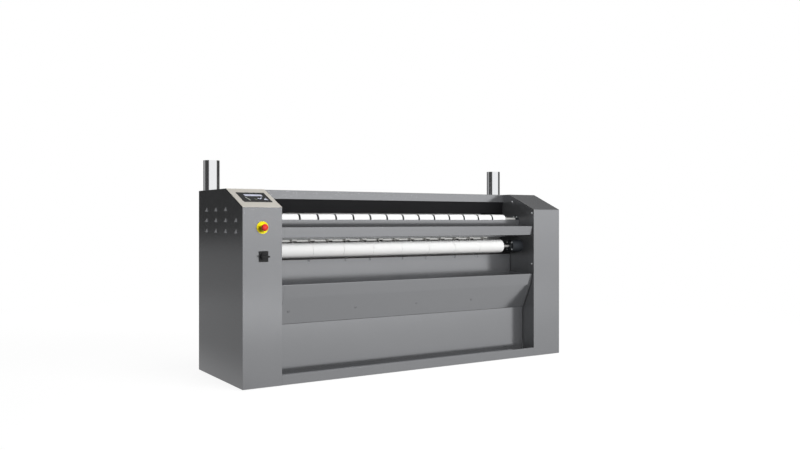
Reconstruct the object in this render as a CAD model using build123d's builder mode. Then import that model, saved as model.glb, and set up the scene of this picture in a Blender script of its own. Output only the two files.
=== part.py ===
from build123d import *
import os
from math import asin, atan2, cos, degrees, hypot, pi, radians, sin

# Flatwork ironer with a heated roll, fed from the front and returning linen at the front.
# Millimetres. x runs to the operator's right, y to the rear and z up from the floor.
# Sections are drawn as (depth, height), where depth counts back from the cabinets' fronts.

# ---- Overall sizes ----
width = 2370.0
depth = 742.0
cabinet_width = 237.0
front_height = 1021.0
top_height = 1131.0
ridge_depth = 261.0
stop_reach = 46.0
gland_reach = 24.0

# ---- Sheet metal ----
sheet = 2.0
seam = 0.3
bend = 4.0
floor_gap = 5.0
flange = 20.0
end_gap = 4.0
cap_width = 18.0

# ---- Side frames ----
frame_plate = 8.0
frame_inset = 28.0
frame_base = 30.0
post = 30.0
post_wall = 3.0
rear_post_top = 840.0
inner_panel_depth = 345.0
beam = 60.0
beam_wall = 3.0
rear_beam_inset = 102.0
rear_beam_height = 1040.0
low_beam_height = 100.0
foot_radius = 25.0
foot_pad = 10.0
foot_stud = 6.0
foot_nut = 10.0
foot_inset = 70.0

# ---- Working section ----
roll_at = (430.0, 815.0)
roll_radius = 165.0
roll_wall = 10.0
roll_left = -905.0
roll_right = 860.0
roll_disc = 14.0
roll_recess = 20.0
journal = 45.0
journal_bore = 26.0
drive_journal = 30.0
feed_at = (190.0, 954.0)
feed_radius = 30.0
inner_feed_at = (300.0, 962.0)
inner_feed_radius = 24.0
feed_belt = 2.0
feed_pitch = 122.65
feed_gap = 8.0
feed_count = 14
feed_left = -879.8
lower_at = (153.0, 766.0)
lower_radius = 45.0
guide_at = (275.0, 700.0)
guide_radius = 12.0
tension_at = (520.0, 585.0)
rear_at = (650.0, 860.0)
idler_core = 33.5
press_angle = 100.0
iron_belt = 3.0
iron_pitch = 209.6
iron_gap = 1.2
iron_count = 8
iron_left = -905.2
belt_gap = 0.3
tube_wall = 3.0
roller_disc = 6.0
shaft = 10.0
lower_shaft = 12.5
shaft_bore = 3.0
shaft_stub = 4.0
run_fit = 0.05
hole_play = 1.0

# ---- Tension arms ----
arm_pivot_at = (614.0, 619.0)
arm_width = 40.0
arm_plate = 8.0
arm_pin = 8.0
arm_gap = 30.0

# ---- Bearings ----
roll_flange = 90.0
roll_flange_plate = 14.0
roll_collar = 72.0
roll_collar_length = 26.0
lower_flange = 32.5
feed_flange = 24.0
lower_housing = 42.0
housing_reach = 84.0
shaft_flange = 28.0
flange_plate = 7.0
hub_share = 0.62

# ---- Stripper bar ----
bar_half = 888.0
bar_front = 238.0
bar_back = 262.0
bar_top = 841.0
bar_drop = 12.0
bar_plate = 3.0
holder_width = 29.0
holder_front = 243.0
holder_bottom = 812.0
finger_width = 14.0
finger_plate = 1.2
finger_tip = 791.0
finger_count = 13
finger_first = -757.1

# ---- Sheet sections in the bay ----
tray_lip_top = (10.0, 906.0)
tray_lip_foot = (20.0, 843.0)
tray_wall = (155.0, 949.0)
trough_lip_top = (14.0, 575.0)
trough_lip_foot = (31.0, 498.0)
trough_corner = (108.0, 338.0)
trough_back = 252.0
trough_rise = 12.0
back_panel_top = 706.0
back_panel_lip = 8.0
lower_panel_depth = 115.0
lower_panel_return = 14.0
rail_height = 62.0
rail_return = 30.0
hem = 12.0
hood_front = 330.0
hood_bottom = 1077.0
guard_front = 334.2
guard_bottom = 993.0
guard_rod_at = (335.4, 1090.0)
guard_rod = 2.5
guard_hem = 4.0
louvre_mouth = 14.0
louvre_tip = 3.0
louvre_height = 21.0
louvre_wall = 1.2
louvre_columns = (98.0, 262.0, 426.0, 590.0)
louvre_rows = (884.0, 947.5, 1011.0)

# ---- Console, stop button and main switch ----
keypad_width = 175.0
keypad_height = 150.0
keypad_start = 73.0
keypad_ledge = 6.0
keypad_body = 8.0
keypad_margin = 0.4
console_centre = 122.8
stop_at = (117.0, 905.0)
stop_disc = 35.0
stop_disc_plate = 3.0
stop_hub = 15.0
stop_hub_reach = 12.0
stop_thread = 11.0
stop_stem = 6.0
stop_head = 20.0
stop_head_depth = 18.0
stop_rim = 7.0
stop_dome = 4.0
stop_back = 30.0
switch_at = (123.5, 742.0)
switch_plate_size = (54.0, 61.0)
switch_plate_depth = 6.0
switch_body = 44.0
switch_body_depth = 50.0
switch_knob_radius = 20.0
switch_knob_depth = 10.0
switch_bar = (46.0, 10.0)
switch_bar_reach = 42.0
switch_shaft = 4.0

# ---- Exhaust ----
pipe_radius = 51.0
pipe_wall = 1.5
pipe_side_gap = 6.0
pipe_rear_gap = 21.0
pipe_top = 1320.0
pipe_foot = 1092.0
pipe_crimp = 0.8
crimp_radius = pipe_radius - pipe_crimp
crimp_top = top_height + 1.0
fan_offset = 80.0
fan_height = 940.0
fan_outlet_margin = 7.0
fan_width = 76.0
fan_wall = 1.5
fan_inlet = 52.0
fan_outlet_height = 1058.0
fan_duct_rise = 26.0
fan_collar_top = 1110.0
fan_scroll = (84.0, 98.0, 112.0, 125.0)
wheel_radius = 80.0
wheel_hub = 37.5
wheel_plate = 1.5
wheel_ring = 8.0
blade_count = 16
blade_length = 15.0
blade_turn = 35.0
fan_motor_radius = 34.0
motor_gap = 4.0
inlet_gap = 8.0
hub_depth = 22.0
fan_shaft = 5.0
standoff_radius = 6.0
standoff_ring = 78.0
standoff_angles = (20.0, 140.0, 260.0)

# ---- Drive ----
pulley_radius = 132.0
small_pulley_radius = 17.6
pulley_width = 20.0
pulley_flange = 3.0
pulley_web = 8.0
pulley_hub = 58.0
pulley_gap = 57.0
drive_belt = 3.0
gearbox_radius = 75.0
gearbox_gap = 87.0
gearbox_width = 70.0
worm_offset = 63.0
motor_radius = 60.0
motor_length = 235.0
motor_fins = 20
motor_slot = 6.0
motor_top = 740.0
motor_neck = 75.0
motor_neck_radius = 42.0
terminal_box = (60.0, 80.0, 34.0)
torque_bar = 30.0
torque_offset = 20.0
torque_drop = 190.0

# ---- Heating ----
support_radius = 20.0
support_wall = 3.0
support_reach = 177.0
support_bar = 6.0
element_radius = 6.0
element_clearance = 17.0
element_count = 6
element_left = -860.0
element_right = 815.0
spider_places = (-835.0, -22.0, 790.0)
spider_bar = 18.0
spider_plate = 4.0

# ---- Electrical plate and cable gland ----
plate_gap = 15.0
rail_depth = 7.0
rail_half = 17.0
rail_margin = 20.0
gear_half = 40.0
plate_depths = (130.0, 560.0)
plate_heights = (330.0, 640.0)
gear_rows = ((385.0, 70.0, 60.0, 5), (485.0, 60.0, 85.0, 6), (580.0, 50.0, 70.0, 4))
standoffs = ((142.0, 345.0), (142.0, 628.0), (548.0, 628.0))
gland_height = 150.0
gland_bore = 7.0
gland_thread = 10.0
gland_hex = 14.0
gland_nut = 12.0
gland_cap = 12.0
gland_locknut = 6.0
gland_inside = 16.0

# ---- Places worked out from the sizes above ----
front = stop_reach - (depth + stop_reach + gland_reach) / 2
outer = width / 2
bay = outer - cabinet_width
slope = (top_height - front_height) / ridge_depth
slope_angle = atan2(top_height - front_height, ridge_depth)
cap_sheet = sheet / cos(slope_angle)
cap_drop = cap_sheet + seam
frame_face = bay + sheet
frame_back = frame_face + frame_plate
flange_face = outer - 2 * sheet - seam
post_face = flange_face - seam
cap_end = bay - end_gap
cap_start = cap_end - cap_width
pipe_x = outer - pipe_radius - pipe_side_gap
pipe_depth = depth - pipe_radius - pipe_rear_gap
fan_at = (pipe_depth - fan_offset, fan_height)
gland_x = outer - cabinet_width / 2
pulley_start = frame_back + pulley_gap
gearbox_start = frame_back + gearbox_gap
support_end = frame_back + support_reach
rear_beam_depth = depth - rear_beam_inset
element_ring = roll_radius - roll_wall - element_clearance - element_radius
tight_bend = sheet + seam
stop_x = stop_at[0] - outer
switch_x = switch_at[0] - outer
press_reach = roll_radius + idler_core + iron_belt + 3 * belt_gap
press_at = (
    roll_at[0] + press_reach * cos(radians(press_angle)),
    roll_at[1] + press_reach * sin(radians(press_angle)),
)
arm_face = bay - arm_gap

iron_loop = (
    (*roll_at, roll_radius, -1),
    (*lower_at, lower_radius - iron_belt - belt_gap, 1),
    (*guide_at, guide_radius, -1),
    (*tension_at, idler_core, 1),
    (*rear_at, idler_core, 1),
    (*press_at, idler_core, 1),
)
feed_loop = (
    (*feed_at, feed_radius - feed_belt - belt_gap, 1),
    (*inner_feed_at, inner_feed_radius - feed_belt - belt_gap, 1),
)
drive_loop = (
    (*roll_at, pulley_radius, 1),
    (*inner_feed_at, small_pulley_radius, 1),
)


# ---- Helpers ----
def side_plane(x):
    """Plane across the machine at x, drawn in (depth, height), with its normal to the right."""
    return Plane(origin=(x, front, 0), x_dir=(0, 1, 0), z_dir=(1, 0, 0))


def level_plane(height):
    """Level plane at a height, drawn in (x, depth), with its normal up."""
    return Plane(origin=(0, front, height), x_dir=(1, 0, 0), z_dir=(0, 0, 1))


def face_plane(depth_at):
    """Upright plane at a depth, drawn in (x, height), with its normal towards the operator."""
    return Plane(origin=(0, front + depth_at, 0), x_dir=(1, 0, 0), z_dir=(0, -1, 0))


def axis_plane(at):
    """Upright plane through a roller's axis, drawn in (x, radius)."""
    return Plane(origin=(0, front + at[0], at[1]), x_dir=(1, 0, 0), z_dir=(0, -1, 0))


def along_x(at):
    """Axis of a roller at (depth, height)."""
    return Axis((0, front + at[0], at[1]), (1, 0, 0))


def outline(*points, mode=Mode.ADD):
    """Closed outline with straight sides."""
    with BuildLine() as edge:
        Polyline(*points, close=True)
    make_face(edge.edges(), mode=mode)


def block(x_range, depth_range, height_range, mode=Mode.ADD):
    """Plain bar between limits."""
    with BuildSketch(level_plane(height_range[0])) as section:
        with Locations((sum(x_range) / 2, sum(depth_range) / 2)):
            Rectangle(x_range[1] - x_range[0], depth_range[1] - depth_range[0])
    extrude(section.sketch, amount=height_range[1] - height_range[0], mode=mode)


def disc(at, radius, x_range, mode=Mode.ADD):
    """Round bar along x at (depth, height)."""
    with BuildSketch(side_plane(x_range[0])) as section:
        with Locations(at):
            Circle(radius)
    extrude(section.sketch, amount=x_range[1] - x_range[0], mode=mode)


def turned(at, *profile):
    """Body turned about a roller's axis from a closed (x, radius) profile."""
    with BuildSketch(axis_plane(at)) as section:
        outline(*profile)
    revolve(section.sketch, axis=along_x(at))


def bent_sheet(*points, radius=bend, plate=sheet, side=Side.LEFT):
    """Folded sheet whose outer face follows the points, with its thickness to one side."""
    with BuildLine() as path:
        FilletPolyline(*points, radius=radius)
        offset(amount=plate, side=side)
    make_face(path.edges())


def tube_roller(at, core, span, shaft_radius, ends):
    """Tube with end discs and stub shafts that are drilled through."""
    left, right = span
    inside = core - tube_wall
    turned(
        at,
        (ends[0], shaft_bore),
        (ends[0], shaft_radius),
        (left, shaft_radius),
        (left, core),
        (right, core),
        (right, shaft_radius),
        (ends[1], shaft_radius),
        (ends[1], shaft_bore),
        (right - roller_disc, shaft_bore),
        (right - roller_disc, inside),
        (left + roller_disc, inside),
        (left + roller_disc, shaft_bore),
    )


def top_line(depth_at, drop):
    """Point of the cabinets' top outline, lowered by drop."""
    return (depth_at, min(front_height + slope * depth_at, top_height) - drop)


def top_band(start, end, upper, lower):
    """Strip under the cabinets' top outline, from start to end in depth."""
    stations = [start, end]
    if start < ridge_depth < end:
        stations.insert(1, ridge_depth)
    above = [top_line(station, upper) for station in stations]
    below = [top_line(station, lower) for station in reversed(stations)]
    outline(*above, *below)


def cabinet_side(start, end, bottom, drop):
    """Outline of a cabinet seen from the side, inset from its covers."""
    stations = [start, end]
    if start < ridge_depth < end:
        stations.insert(1, ridge_depth)
    tops = [top_line(station, drop) for station in stations]
    outline((start, bottom), *tops, (end, bottom))


def belt_tangents(stations, belt, gap, lift):
    """Straight runs of a loop round its rollers, with the turning radius at each roller.

    A station is (depth, height, radius, side): side 1 lies inside the loop, -1 outside it.
    Lift 0 gives the belt's inner face, and lift equal to the belt its outer face.
    """
    turns = []
    for _, _, radius, side in stations:
        if side > 0:
            turns.append(radius + gap + lift)
        else:
            turns.append(-(radius + gap + belt - lift))
    runs = []
    for i, here in enumerate(stations):
        after = (i + 1) % len(stations)
        step = (stations[after][0] - here[0], stations[after][1] - here[1])
        heading = atan2(step[1], step[0]) - asin((turns[after] - turns[i]) / hypot(*step))
        normal = (-sin(heading), cos(heading))
        leave = (here[0] - turns[i] * normal[0], here[1] - turns[i] * normal[1])
        reach = tuple(stations[after][k] - turns[after] * normal[k] for k in (0, 1))
        runs.append((leave, reach))
    return runs, turns


def belt_face(stations, belt, gap, lift, mode=Mode.ADD):
    """Face inside one side of a belt loop."""
    runs, turns = belt_tangents(stations, belt, gap, lift)
    with BuildLine() as loop:
        for i, station in enumerate(stations):
            arrive, leave = runs[i - 1][1], runs[i][0]
            start = atan2(arrive[1] - station[1], arrive[0] - station[0])
            stop = atan2(leave[1] - station[1], leave[0] - station[0])
            way = 1 if turns[i] > 0 else -1
            half = way * ((way * (stop - start)) % (2 * pi)) / 2
            radius = abs(turns[i])
            middle = (
                station[0] + radius * cos(start + half),
                station[1] + radius * sin(start + half),
            )
            ThreePointArc(arrive, middle, leave)
            Line(leave, runs[i][1])
    make_face(loop.edges(), mode=mode)


def belt_band(stations, belt, gap, start, belt_width):
    """One endless belt from start to start + belt_width along x."""
    with BuildSketch(side_plane(start)) as section:
        belt_face(stations, belt, gap, belt)
        belt_face(stations, belt, gap, 0, mode=Mode.SUBTRACT)
    extrude(section.sketch, amount=belt_width)


def flanged_panel(depth_at, x_range, height_range, towards):
    """Flat upright cover with an inset flange all round; towards is 1 for flanges to the rear."""
    size = (x_range[1] - x_range[0], height_range[1] - height_range[0])
    centre = (sum(x_range) / 2, sum(height_range) / 2)
    inset = 2 * (sheet + seam)
    with BuildSketch(face_plane(depth_at)) as face:
        with Locations(centre):
            Rectangle(*size)
    extrude(face.sketch, amount=-towards * sheet)
    with BuildSketch(face_plane(depth_at + towards * sheet)) as flanges:
        with Locations(centre):
            Rectangle(size[0] - inset, size[1] - 2 * frame_inset)
            Rectangle(size[0] - inset - 2 * sheet, size[1] - 2 * frame_inset, mode=Mode.SUBTRACT)
    extrude(flanges.sketch, amount=-towards * flange)


def finish(built, name):
    """Label a finished piece and write it."""
    built.part.label = name
    export_step(built.part, f"parts/{name}.step")


def finish_mirrored(built, name):
    """Write a right-hand piece, and its mirror image for the left."""
    finish(built, f"right_{name}")
    with BuildPart() as copy:
        mirror(built.part, about=Plane.YZ)
    finish(copy, f"left_{name}")


on_base = (Align.CENTER, Align.CENTER, Align.MIN)
os.makedirs("parts", exist_ok=True)

# ---- Side frames: plate with windows, base plate, corner posts and top rails ----
frame_holes = (
    (roll_at, journal + 8 * hole_play),
    (feed_at, shaft + hole_play),
    (inner_feed_at, shaft + hole_play),
    (lower_at, lower_shaft + hole_play),
    (guide_at, shaft + hole_play),
    (rear_at, shaft + hole_play),
    (press_at, shaft + hole_play),
    (arm_pivot_at, arm_pin + run_fit),
    (guard_rod_at, guard_rod + run_fit),
    (fan_at, fan_inlet + 8 * hole_play),
)
window_height = 300.0
window_size = (430.0, 330.0)
window_corner = 12.0
foot_x = (frame_back + post_face) / 2
foot_depths = (foot_inset, depth - foot_inset)
posts = (
    (frame_inset + post / 2, top_line(frame_inset, frame_inset)[1]),
    (depth - frame_inset - post / 2, rear_post_top),
)
with BuildPart() as side_frame:
    with BuildSketch(side_plane(frame_face)):
        cabinet_side(frame_inset, depth - frame_inset, frame_base, frame_inset)
        for at, radius in frame_holes:
            with Locations(at):
                Circle(radius, mode=Mode.SUBTRACT)
        with Locations((depth / 2, window_height)):
            RectangleRounded(*window_size, window_corner, mode=Mode.SUBTRACT)
    extrude(amount=frame_plate)
    with BuildSketch(level_plane(frame_base)):
        with Locations(((frame_back + post_face) / 2, depth / 2)):
            Rectangle(post_face - frame_back, depth - 2 * frame_inset)
        for foot_depth in foot_depths:
            with Locations((foot_x, foot_depth)):
                Circle(foot_stud + seam, mode=Mode.SUBTRACT)
    extrude(amount=frame_plate)
    for post_depth, post_top in posts:
        with BuildSketch(level_plane(frame_base + frame_plate)):
            with Locations((post_face - post / 2, post_depth)):
                Rectangle(post, post)
                Rectangle(post - 2 * post_wall, post - 2 * post_wall, mode=Mode.SUBTRACT)
        extrude(amount=post_top - frame_base - frame_plate)
        with BuildSketch(side_plane(frame_back)):
            with Locations((post_depth, post_top - post / 2)):
                Rectangle(post, post)
                Rectangle(post - 2 * post_wall, post - 2 * post_wall, mode=Mode.SUBTRACT)
        extrude(amount=post_face - post - frame_back)
finish_mirrored(side_frame, "side_frame")

# ---- Levelling feet: pad, nut under the base plate and stud through it, four alike ----
with BuildPart() as levelling_feet:
    with Locations(*[(foot_x, front + foot_depth, 0) for foot_depth in foot_depths]):
        Cylinder(foot_radius, foot_pad, align=on_base)
        Cylinder(foot_stud, frame_base + 2 * frame_plate, align=on_base)
    with Locations(*[(foot_x, front + foot_depth, foot_pad) for foot_depth in foot_depths]):
        Box(2 * foot_nut, 2 * foot_nut, frame_base - foot_pad, align=on_base)
    mirror(about=Plane.YZ)
finish(levelling_feet, "levelling_feet")

# ---- Tie beams between the frames ----
low_beam_depth = lower_panel_depth + lower_panel_return + sheet + seam
tie_places = (
    (rear_beam_depth, rear_beam_height, frame_face),
    (rear_beam_depth, low_beam_height, frame_face),
    (low_beam_depth, low_beam_height, bay),
)
with BuildPart() as tie_beams:
    for beam_depth, beam_height, reach in tie_places:
        with BuildSketch(side_plane(-reach)):
            with Locations((beam_depth + beam / 2, beam_height + beam / 2)):
                Rectangle(beam, beam)
                Rectangle(beam - 2 * beam_wall, beam - 2 * beam_wall, mode=Mode.SUBTRACT)
        extrude(amount=2 * reach)
finish(tie_beams, "tie_beams")

# ---- Base rails between the cabinets ----
rail_end = bay - seam
with BuildPart() as front_base_rail:
    with BuildSketch(side_plane(-rail_end)):
        bent_sheet(
            (rail_return, rail_height - hem),
            (rail_return, rail_height),
            (0, rail_height),
            (0, floor_gap),
            (rail_return, floor_gap),
            radius=tight_bend,
        )
    extrude(amount=2 * rail_end)
finish(front_base_rail, "front_base_rail")

with BuildPart() as rear_base_rail:
    with BuildSketch(side_plane(-rail_end)):
        bent_sheet(
            (depth - rail_return, floor_gap),
            (depth, floor_gap),
            (depth, rail_height),
            (depth - rail_return, rail_height),
            (depth - rail_return, rail_height - hem),
            radius=tight_bend,
        )
    extrude(amount=2 * rail_end)
finish(rear_base_rail, "rear_base_rail")

# ---- Cabinet front covers; the left one is drilled for the stop button and the switch ----
front_top = front_height - cap_drop
with BuildPart() as right_front_cover:
    flanged_panel(0, (bay, outer), (floor_gap, front_top), 1)
    fillet(right_front_cover.edges().filter_by(Axis.Z).group_by(Axis.Y)[0], radius=sheet / 2)
finish(right_front_cover, "right_front_cover")

with BuildPart() as left_front_cover:
    flanged_panel(0, (-outer, -bay), (floor_gap, front_top), 1)
    fillet(left_front_cover.edges().filter_by(Axis.Z).group_by(Axis.Y)[0], radius=sheet / 2)
    with BuildSketch(face_plane(0)):
        with Locations((stop_x, stop_at[1])):
            Circle(stop_thread + seam)
        with Locations((switch_x, switch_at[1])):
            Rectangle(switch_body + 2 * seam, switch_body + 2 * seam)
    extrude(amount=-sheet, mode=Mode.SUBTRACT)
finish(left_front_cover, "left_front_cover")

# ---- Cabinet rear covers ----
rear_top = top_height - cap_drop
with BuildPart() as rear_covers:
    flanged_panel(depth, (bay, outer), (floor_gap, rear_top), -1)
    flanged_panel(depth, (-outer, -bay), (floor_gap, rear_top), -1)
    with BuildSketch(face_plane(depth)):
        with Locations((-gland_x, gland_height)):
            Circle(gland_thread + seam)
    extrude(amount=sheet, mode=Mode.SUBTRACT)
finish(rear_covers, "rear_covers")

# ---- Side panels with pressed louvres, each half a cone that opens downwards ----
panel_edge = sheet + seam


def hood(place, wall, inner_x):
    """Cone outside inner_x with a round tip, from its mouth at place upwards, less a wall."""
    with BuildPart() as piece:
        with Locations((outer, *place)):
            Cone(louvre_mouth - wall, louvre_tip - wall, louvre_height, align=on_base)
        with Locations((outer, place[0], place[1] + louvre_height)):
            Sphere(louvre_tip - wall)
        with Locations((inner_x, *place)):
            Box(
                2 * louvre_mouth,
                4 * louvre_mouth,
                2 * louvre_height,
                align=(Align.MIN, Align.CENTER, Align.MIN),
                mode=Mode.INTERSECT,
            )
    return piece.part


louvre_places = [
    (front + column, row - (louvre_height + louvre_tip) / 2)
    for row in louvre_rows
    for column in louvre_columns
    if row < louvre_rows[-1] or column > louvre_columns[0]
]
louvre_skins = [hood(place, 0, outer - sheet / 2) for place in louvre_places]
louvre_hollows = [hood(place, louvre_wall, outer - 1.5 * sheet) for place in louvre_places]
with BuildPart() as side_panel:
    with BuildSketch(side_plane(outer - sheet)):
        cabinet_side(panel_edge, depth - panel_edge, floor_gap, cap_drop)
    extrude(amount=sheet)
    add(louvre_skins)
    add(louvre_hollows, mode=Mode.SUBTRACT)
finish_mirrored(side_panel, "side_panel")

# ---- Inner side panels, which close the front part of the bay's ends ----
panel_holes = [hole for hole in frame_holes if hole[0][0] + hole[1] < inner_panel_depth]
with BuildPart() as inner_panels:
    with BuildSketch(side_plane(bay)):
        cabinet_side(panel_edge, inner_panel_depth, floor_gap, cap_drop)
        for at, radius in panel_holes:
            with Locations(at):
                Circle(radius, mode=Mode.SUBTRACT)
    extrude(amount=sheet)
    mirror(about=Plane.YZ)
finish(inner_panels, "inner_panels")


# ---- Top covers ----
def top_cover(start, x_range):
    """Cover that follows the cabinets' top outline from start to the rear, with side flanges."""
    left, right = x_range
    rear_flange = depth - panel_edge - flange
    with BuildSketch(side_plane(left)) as skin:
        top_band(start, depth, 0, cap_sheet)
    extrude(skin.sketch, amount=right - left)
    for strip in (left + sheet + seam, right - 2 * sheet - seam):
        with BuildSketch(side_plane(strip)) as side_flange:
            top_band(start + 2 * panel_edge, rear_flange, cap_sheet, flange)
        extrude(side_flange.sketch, amount=sheet)


def pipe_hole(x):
    """Hole for an exhaust pipe through a flat top."""
    with BuildSketch(level_plane(top_height - 2 * sheet)) as hole:
        with Locations((x, pipe_depth)):
            Circle(crimp_radius + seam)
    extrude(hole.sketch, amount=2 * sheet, mode=Mode.SUBTRACT)


with BuildPart() as right_top_cover:
    top_cover(0, (bay, outer))
    pipe_hole(pipe_x)
finish(right_top_cover, "right_top_cover")

with BuildPart() as left_top_cover:
    top_cover(ridge_depth + seam, (-outer, -bay))
    pipe_hole(-pipe_x)
finish(left_top_cover, "left_top_cover")

# ---- Console: sloped bezel with its window, and the keypad behind it ----
console_x = console_centre - outer
slope_plane = Plane(
    origin=(console_x, front, front_height),
    x_dir=(1, 0, 0),
    z_dir=(0, -sin(slope_angle), cos(slope_angle)),
)
keypad_middle = keypad_start + keypad_height / 2
with BuildPart() as console_bezel:
    with BuildSketch(side_plane(-outer)):
        top_band(0, ridge_depth, 0, cap_sheet)
    extrude(amount=cabinet_width)
    for strip in (-outer + sheet + seam, -bay - 2 * sheet - seam):
        with BuildSketch(side_plane(strip)):
            top_band(2 * panel_edge, ridge_depth, cap_sheet, flange)
        extrude(amount=sheet)
    with BuildSketch(slope_plane):
        with Locations((0, keypad_middle)):
            RectangleRounded(keypad_width, keypad_height, bend)
    extrude(amount=-2 * sheet, mode=Mode.SUBTRACT)
finish(console_bezel, "console_bezel")

with BuildPart() as keypad:
    with BuildSketch(slope_plane):
        with Locations((0, keypad_middle)):
            RectangleRounded(
                keypad_width - 2 * keypad_margin,
                keypad_height - 2 * keypad_margin,
                bend - keypad_margin,
            )
    extrude(amount=-sheet - seam)
    with BuildSketch(slope_plane.offset(-sheet - seam)):
        with Locations((0, keypad_middle)):
            Rectangle(keypad_width + 2 * keypad_ledge, keypad_height + 2 * keypad_ledge)
    extrude(amount=-keypad_body)
finish(keypad, "keypad")

# ---- Hood over the roll, and the bay's rear panel ----
with BuildPart() as hood:
    with BuildSketch(side_plane(-rail_end)):
        bent_sheet(
            (depth, top_height - flange),
            (depth, top_height),
            (hood_front, top_height),
            (hood_front, hood_bottom),
        )
    extrude(amount=2 * rail_end)
finish(hood, "hood")

rear_panel_range = (rail_height + seam, top_height - flange - seam)
with BuildPart() as rear_panel:
    flanged_panel(depth, (-rail_end, rail_end), rear_panel_range, -1)
finish(rear_panel, "rear_panel")

# ---- Feed tray in front of the feed roller, and the end caps of the tray and trough ----
tray_floor_back = (tray_wall[0], tray_lip_foot[1])
tray_points = (
    (tray_lip_foot[0], tray_lip_top[1] - hem),
    (tray_lip_foot[0], tray_lip_top[1]),
    tray_lip_top,
    tray_lip_foot,
    tray_floor_back,
    tray_wall,
)
trough_points = (
    (trough_lip_top[0] + hem, trough_lip_top[1] - hem),
    (trough_lip_top[0] + hem, trough_lip_top[1]),
    trough_lip_top,
    trough_lip_foot,
    trough_corner,
    (trough_back, trough_corner[1]),
    (trough_back, trough_corner[1] + trough_rise),
)
tab = 16.0


def end_cap(points, end_plate, tabs):
    """Folded end of a trough: the same section, a closing plate and tabs to the side panel."""
    with BuildSketch(side_plane(cap_start)) as section:
        bent_sheet(*points)
    extrude(section.sketch, amount=cap_width)
    with BuildSketch(side_plane(cap_end - sheet)) as plate:
        outline(*end_plate)
    extrude(plate.sketch, amount=sheet)
    for tab_depth, tab_height in tabs:
        block(
            (cap_end, bay - seam),
            (tab_depth, tab_depth + tab),
            (tab_height, tab_height + tab),
        )


with BuildPart() as feed_tray:
    with BuildSketch(side_plane(-cap_start + seam)):
        bent_sheet(*tray_points)
    extrude(amount=2 * (cap_start - seam))
finish(feed_tray, "feed_tray")

# ---- Linen trough, the end caps, and the panels above and below the trough ----
with BuildPart() as linen_trough:
    with BuildSketch(side_plane(-cap_start + seam)):
        bent_sheet(*trough_points)
    extrude(amount=2 * (cap_start - seam))
finish(linen_trough, "linen_trough")

with BuildPart() as bay_end_caps:
    end_cap(
        tray_points,
        ((tray_wall[0], tray_lip_top[1]), *tray_points[2:5]),
        ((45.0, 872.0), (125.0, 872.0)),
    )
    end_cap(
        trough_points,
        ((trough_back, trough_lip_top[1]), *trough_points[2:6]),
        ((80.0, 500.0), (200.0, 400.0)),
    )
    mirror(about=Plane.YZ)
finish(bay_end_caps, "bay_end_caps")

back_foot = trough_corner[1]
with BuildPart() as back_panel:
    with BuildSketch(side_plane(-cap_end)):
        bent_sheet(
            (trough_back + sheet + hem, back_foot),
            (trough_back + seam, back_foot),
            (trough_back + seam, back_panel_top),
            (trough_back + seam + back_panel_lip, back_panel_top),
            radius=tight_bend,
            side=Side.RIGHT,
        )
    extrude(amount=2 * cap_end)
finish(back_panel, "back_panel")

lower_top = trough_corner[1] - seam
with BuildPart() as lower_panel:
    with BuildSketch(side_plane(-cap_end)):
        bent_sheet(
            (lower_panel_depth + lower_panel_return, floor_gap),
            (lower_panel_depth, floor_gap),
            (lower_panel_depth, lower_top),
            (lower_panel_depth + lower_panel_return, lower_top),
            radius=tight_bend,
            side=Side.RIGHT,
        )
    extrude(amount=2 * cap_end)
finish(lower_panel, "lower_panel")

# ---- Finger guard, which hangs from its rod behind the hood's front ----
with BuildPart() as finger_guard:
    with BuildSketch(side_plane(-cap_end)):
        bent_sheet(
            (guard_front, guard_rod_at[1]),
            (guard_front, guard_bottom),
            (guard_front + sheet + guard_hem, guard_bottom),
            radius=tight_bend,
        )
    extrude(amount=2 * cap_end)
    disc(guard_rod_at, guard_rod, (-frame_face - frame_plate / 2, frame_face + frame_plate / 2))
finish(finger_guard, "finger_guard")

# ---- Exhaust pipes ----
with BuildPart() as exhaust_pipes:
    for radius, low, high in (
        (crimp_radius, pipe_foot, crimp_top),
        (pipe_radius, crimp_top, pipe_top),
    ):
        with BuildSketch(level_plane(low)):
            with Locations((-pipe_x, pipe_depth), (pipe_x, pipe_depth)):
                Circle(radius)
                Circle(pipe_radius - pipe_wall, mode=Mode.SUBTRACT)
        extrude(amount=high - low)
finish(exhaust_pipes, "exhaust_pipes")


# ---- Exhaust fans: scroll housing with a duct to the pipe, wheel and outer-rotor motor ----
def scroll_face(shrink, top):
    """Scroll outline with its outlet, drawn shrink inside the outer face."""
    outlet_front = pipe_depth - fan_width / 2 - fan_outlet_margin + shrink
    outlet_back = fan_at[0] + fan_scroll[3] - shrink
    spots = []
    for angle, reach in zip((65.0, 155.0, 245.0, 360.0), fan_scroll):
        spots.append((angle, reach - shrink))
    middles = []
    for (low, near), (high, far) in zip(spots, spots[1:]):
        middles.append(((low + high) / 2, (near + far) / 2))
    ends = [polar(*spot) for spot in spots]
    ends[0] = (outlet_front, ends[0][1])
    with BuildLine() as scroll:
        for i, middle in enumerate(middles):
            ThreePointArc(ends[i], polar(*middle), ends[i + 1])
        Polyline(ends[3], (outlet_back, top), (outlet_front, top), ends[0])
    make_face(scroll.edges())


def polar(angle, reach):
    """Point round the fan's axis."""
    turn = radians(angle)
    return (fan_at[0] + reach * cos(turn), fan_at[1] + reach * sin(turn))


fan_start = pipe_x - fan_width / 2
outlet_size = (fan_width, fan_scroll[3] - fan_offset + fan_width / 2 + fan_outlet_margin)
outlet_middle = (
    pipe_x,
    front + fan_at[0] + fan_scroll[3] - outlet_size[1] / 2,
)


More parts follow.
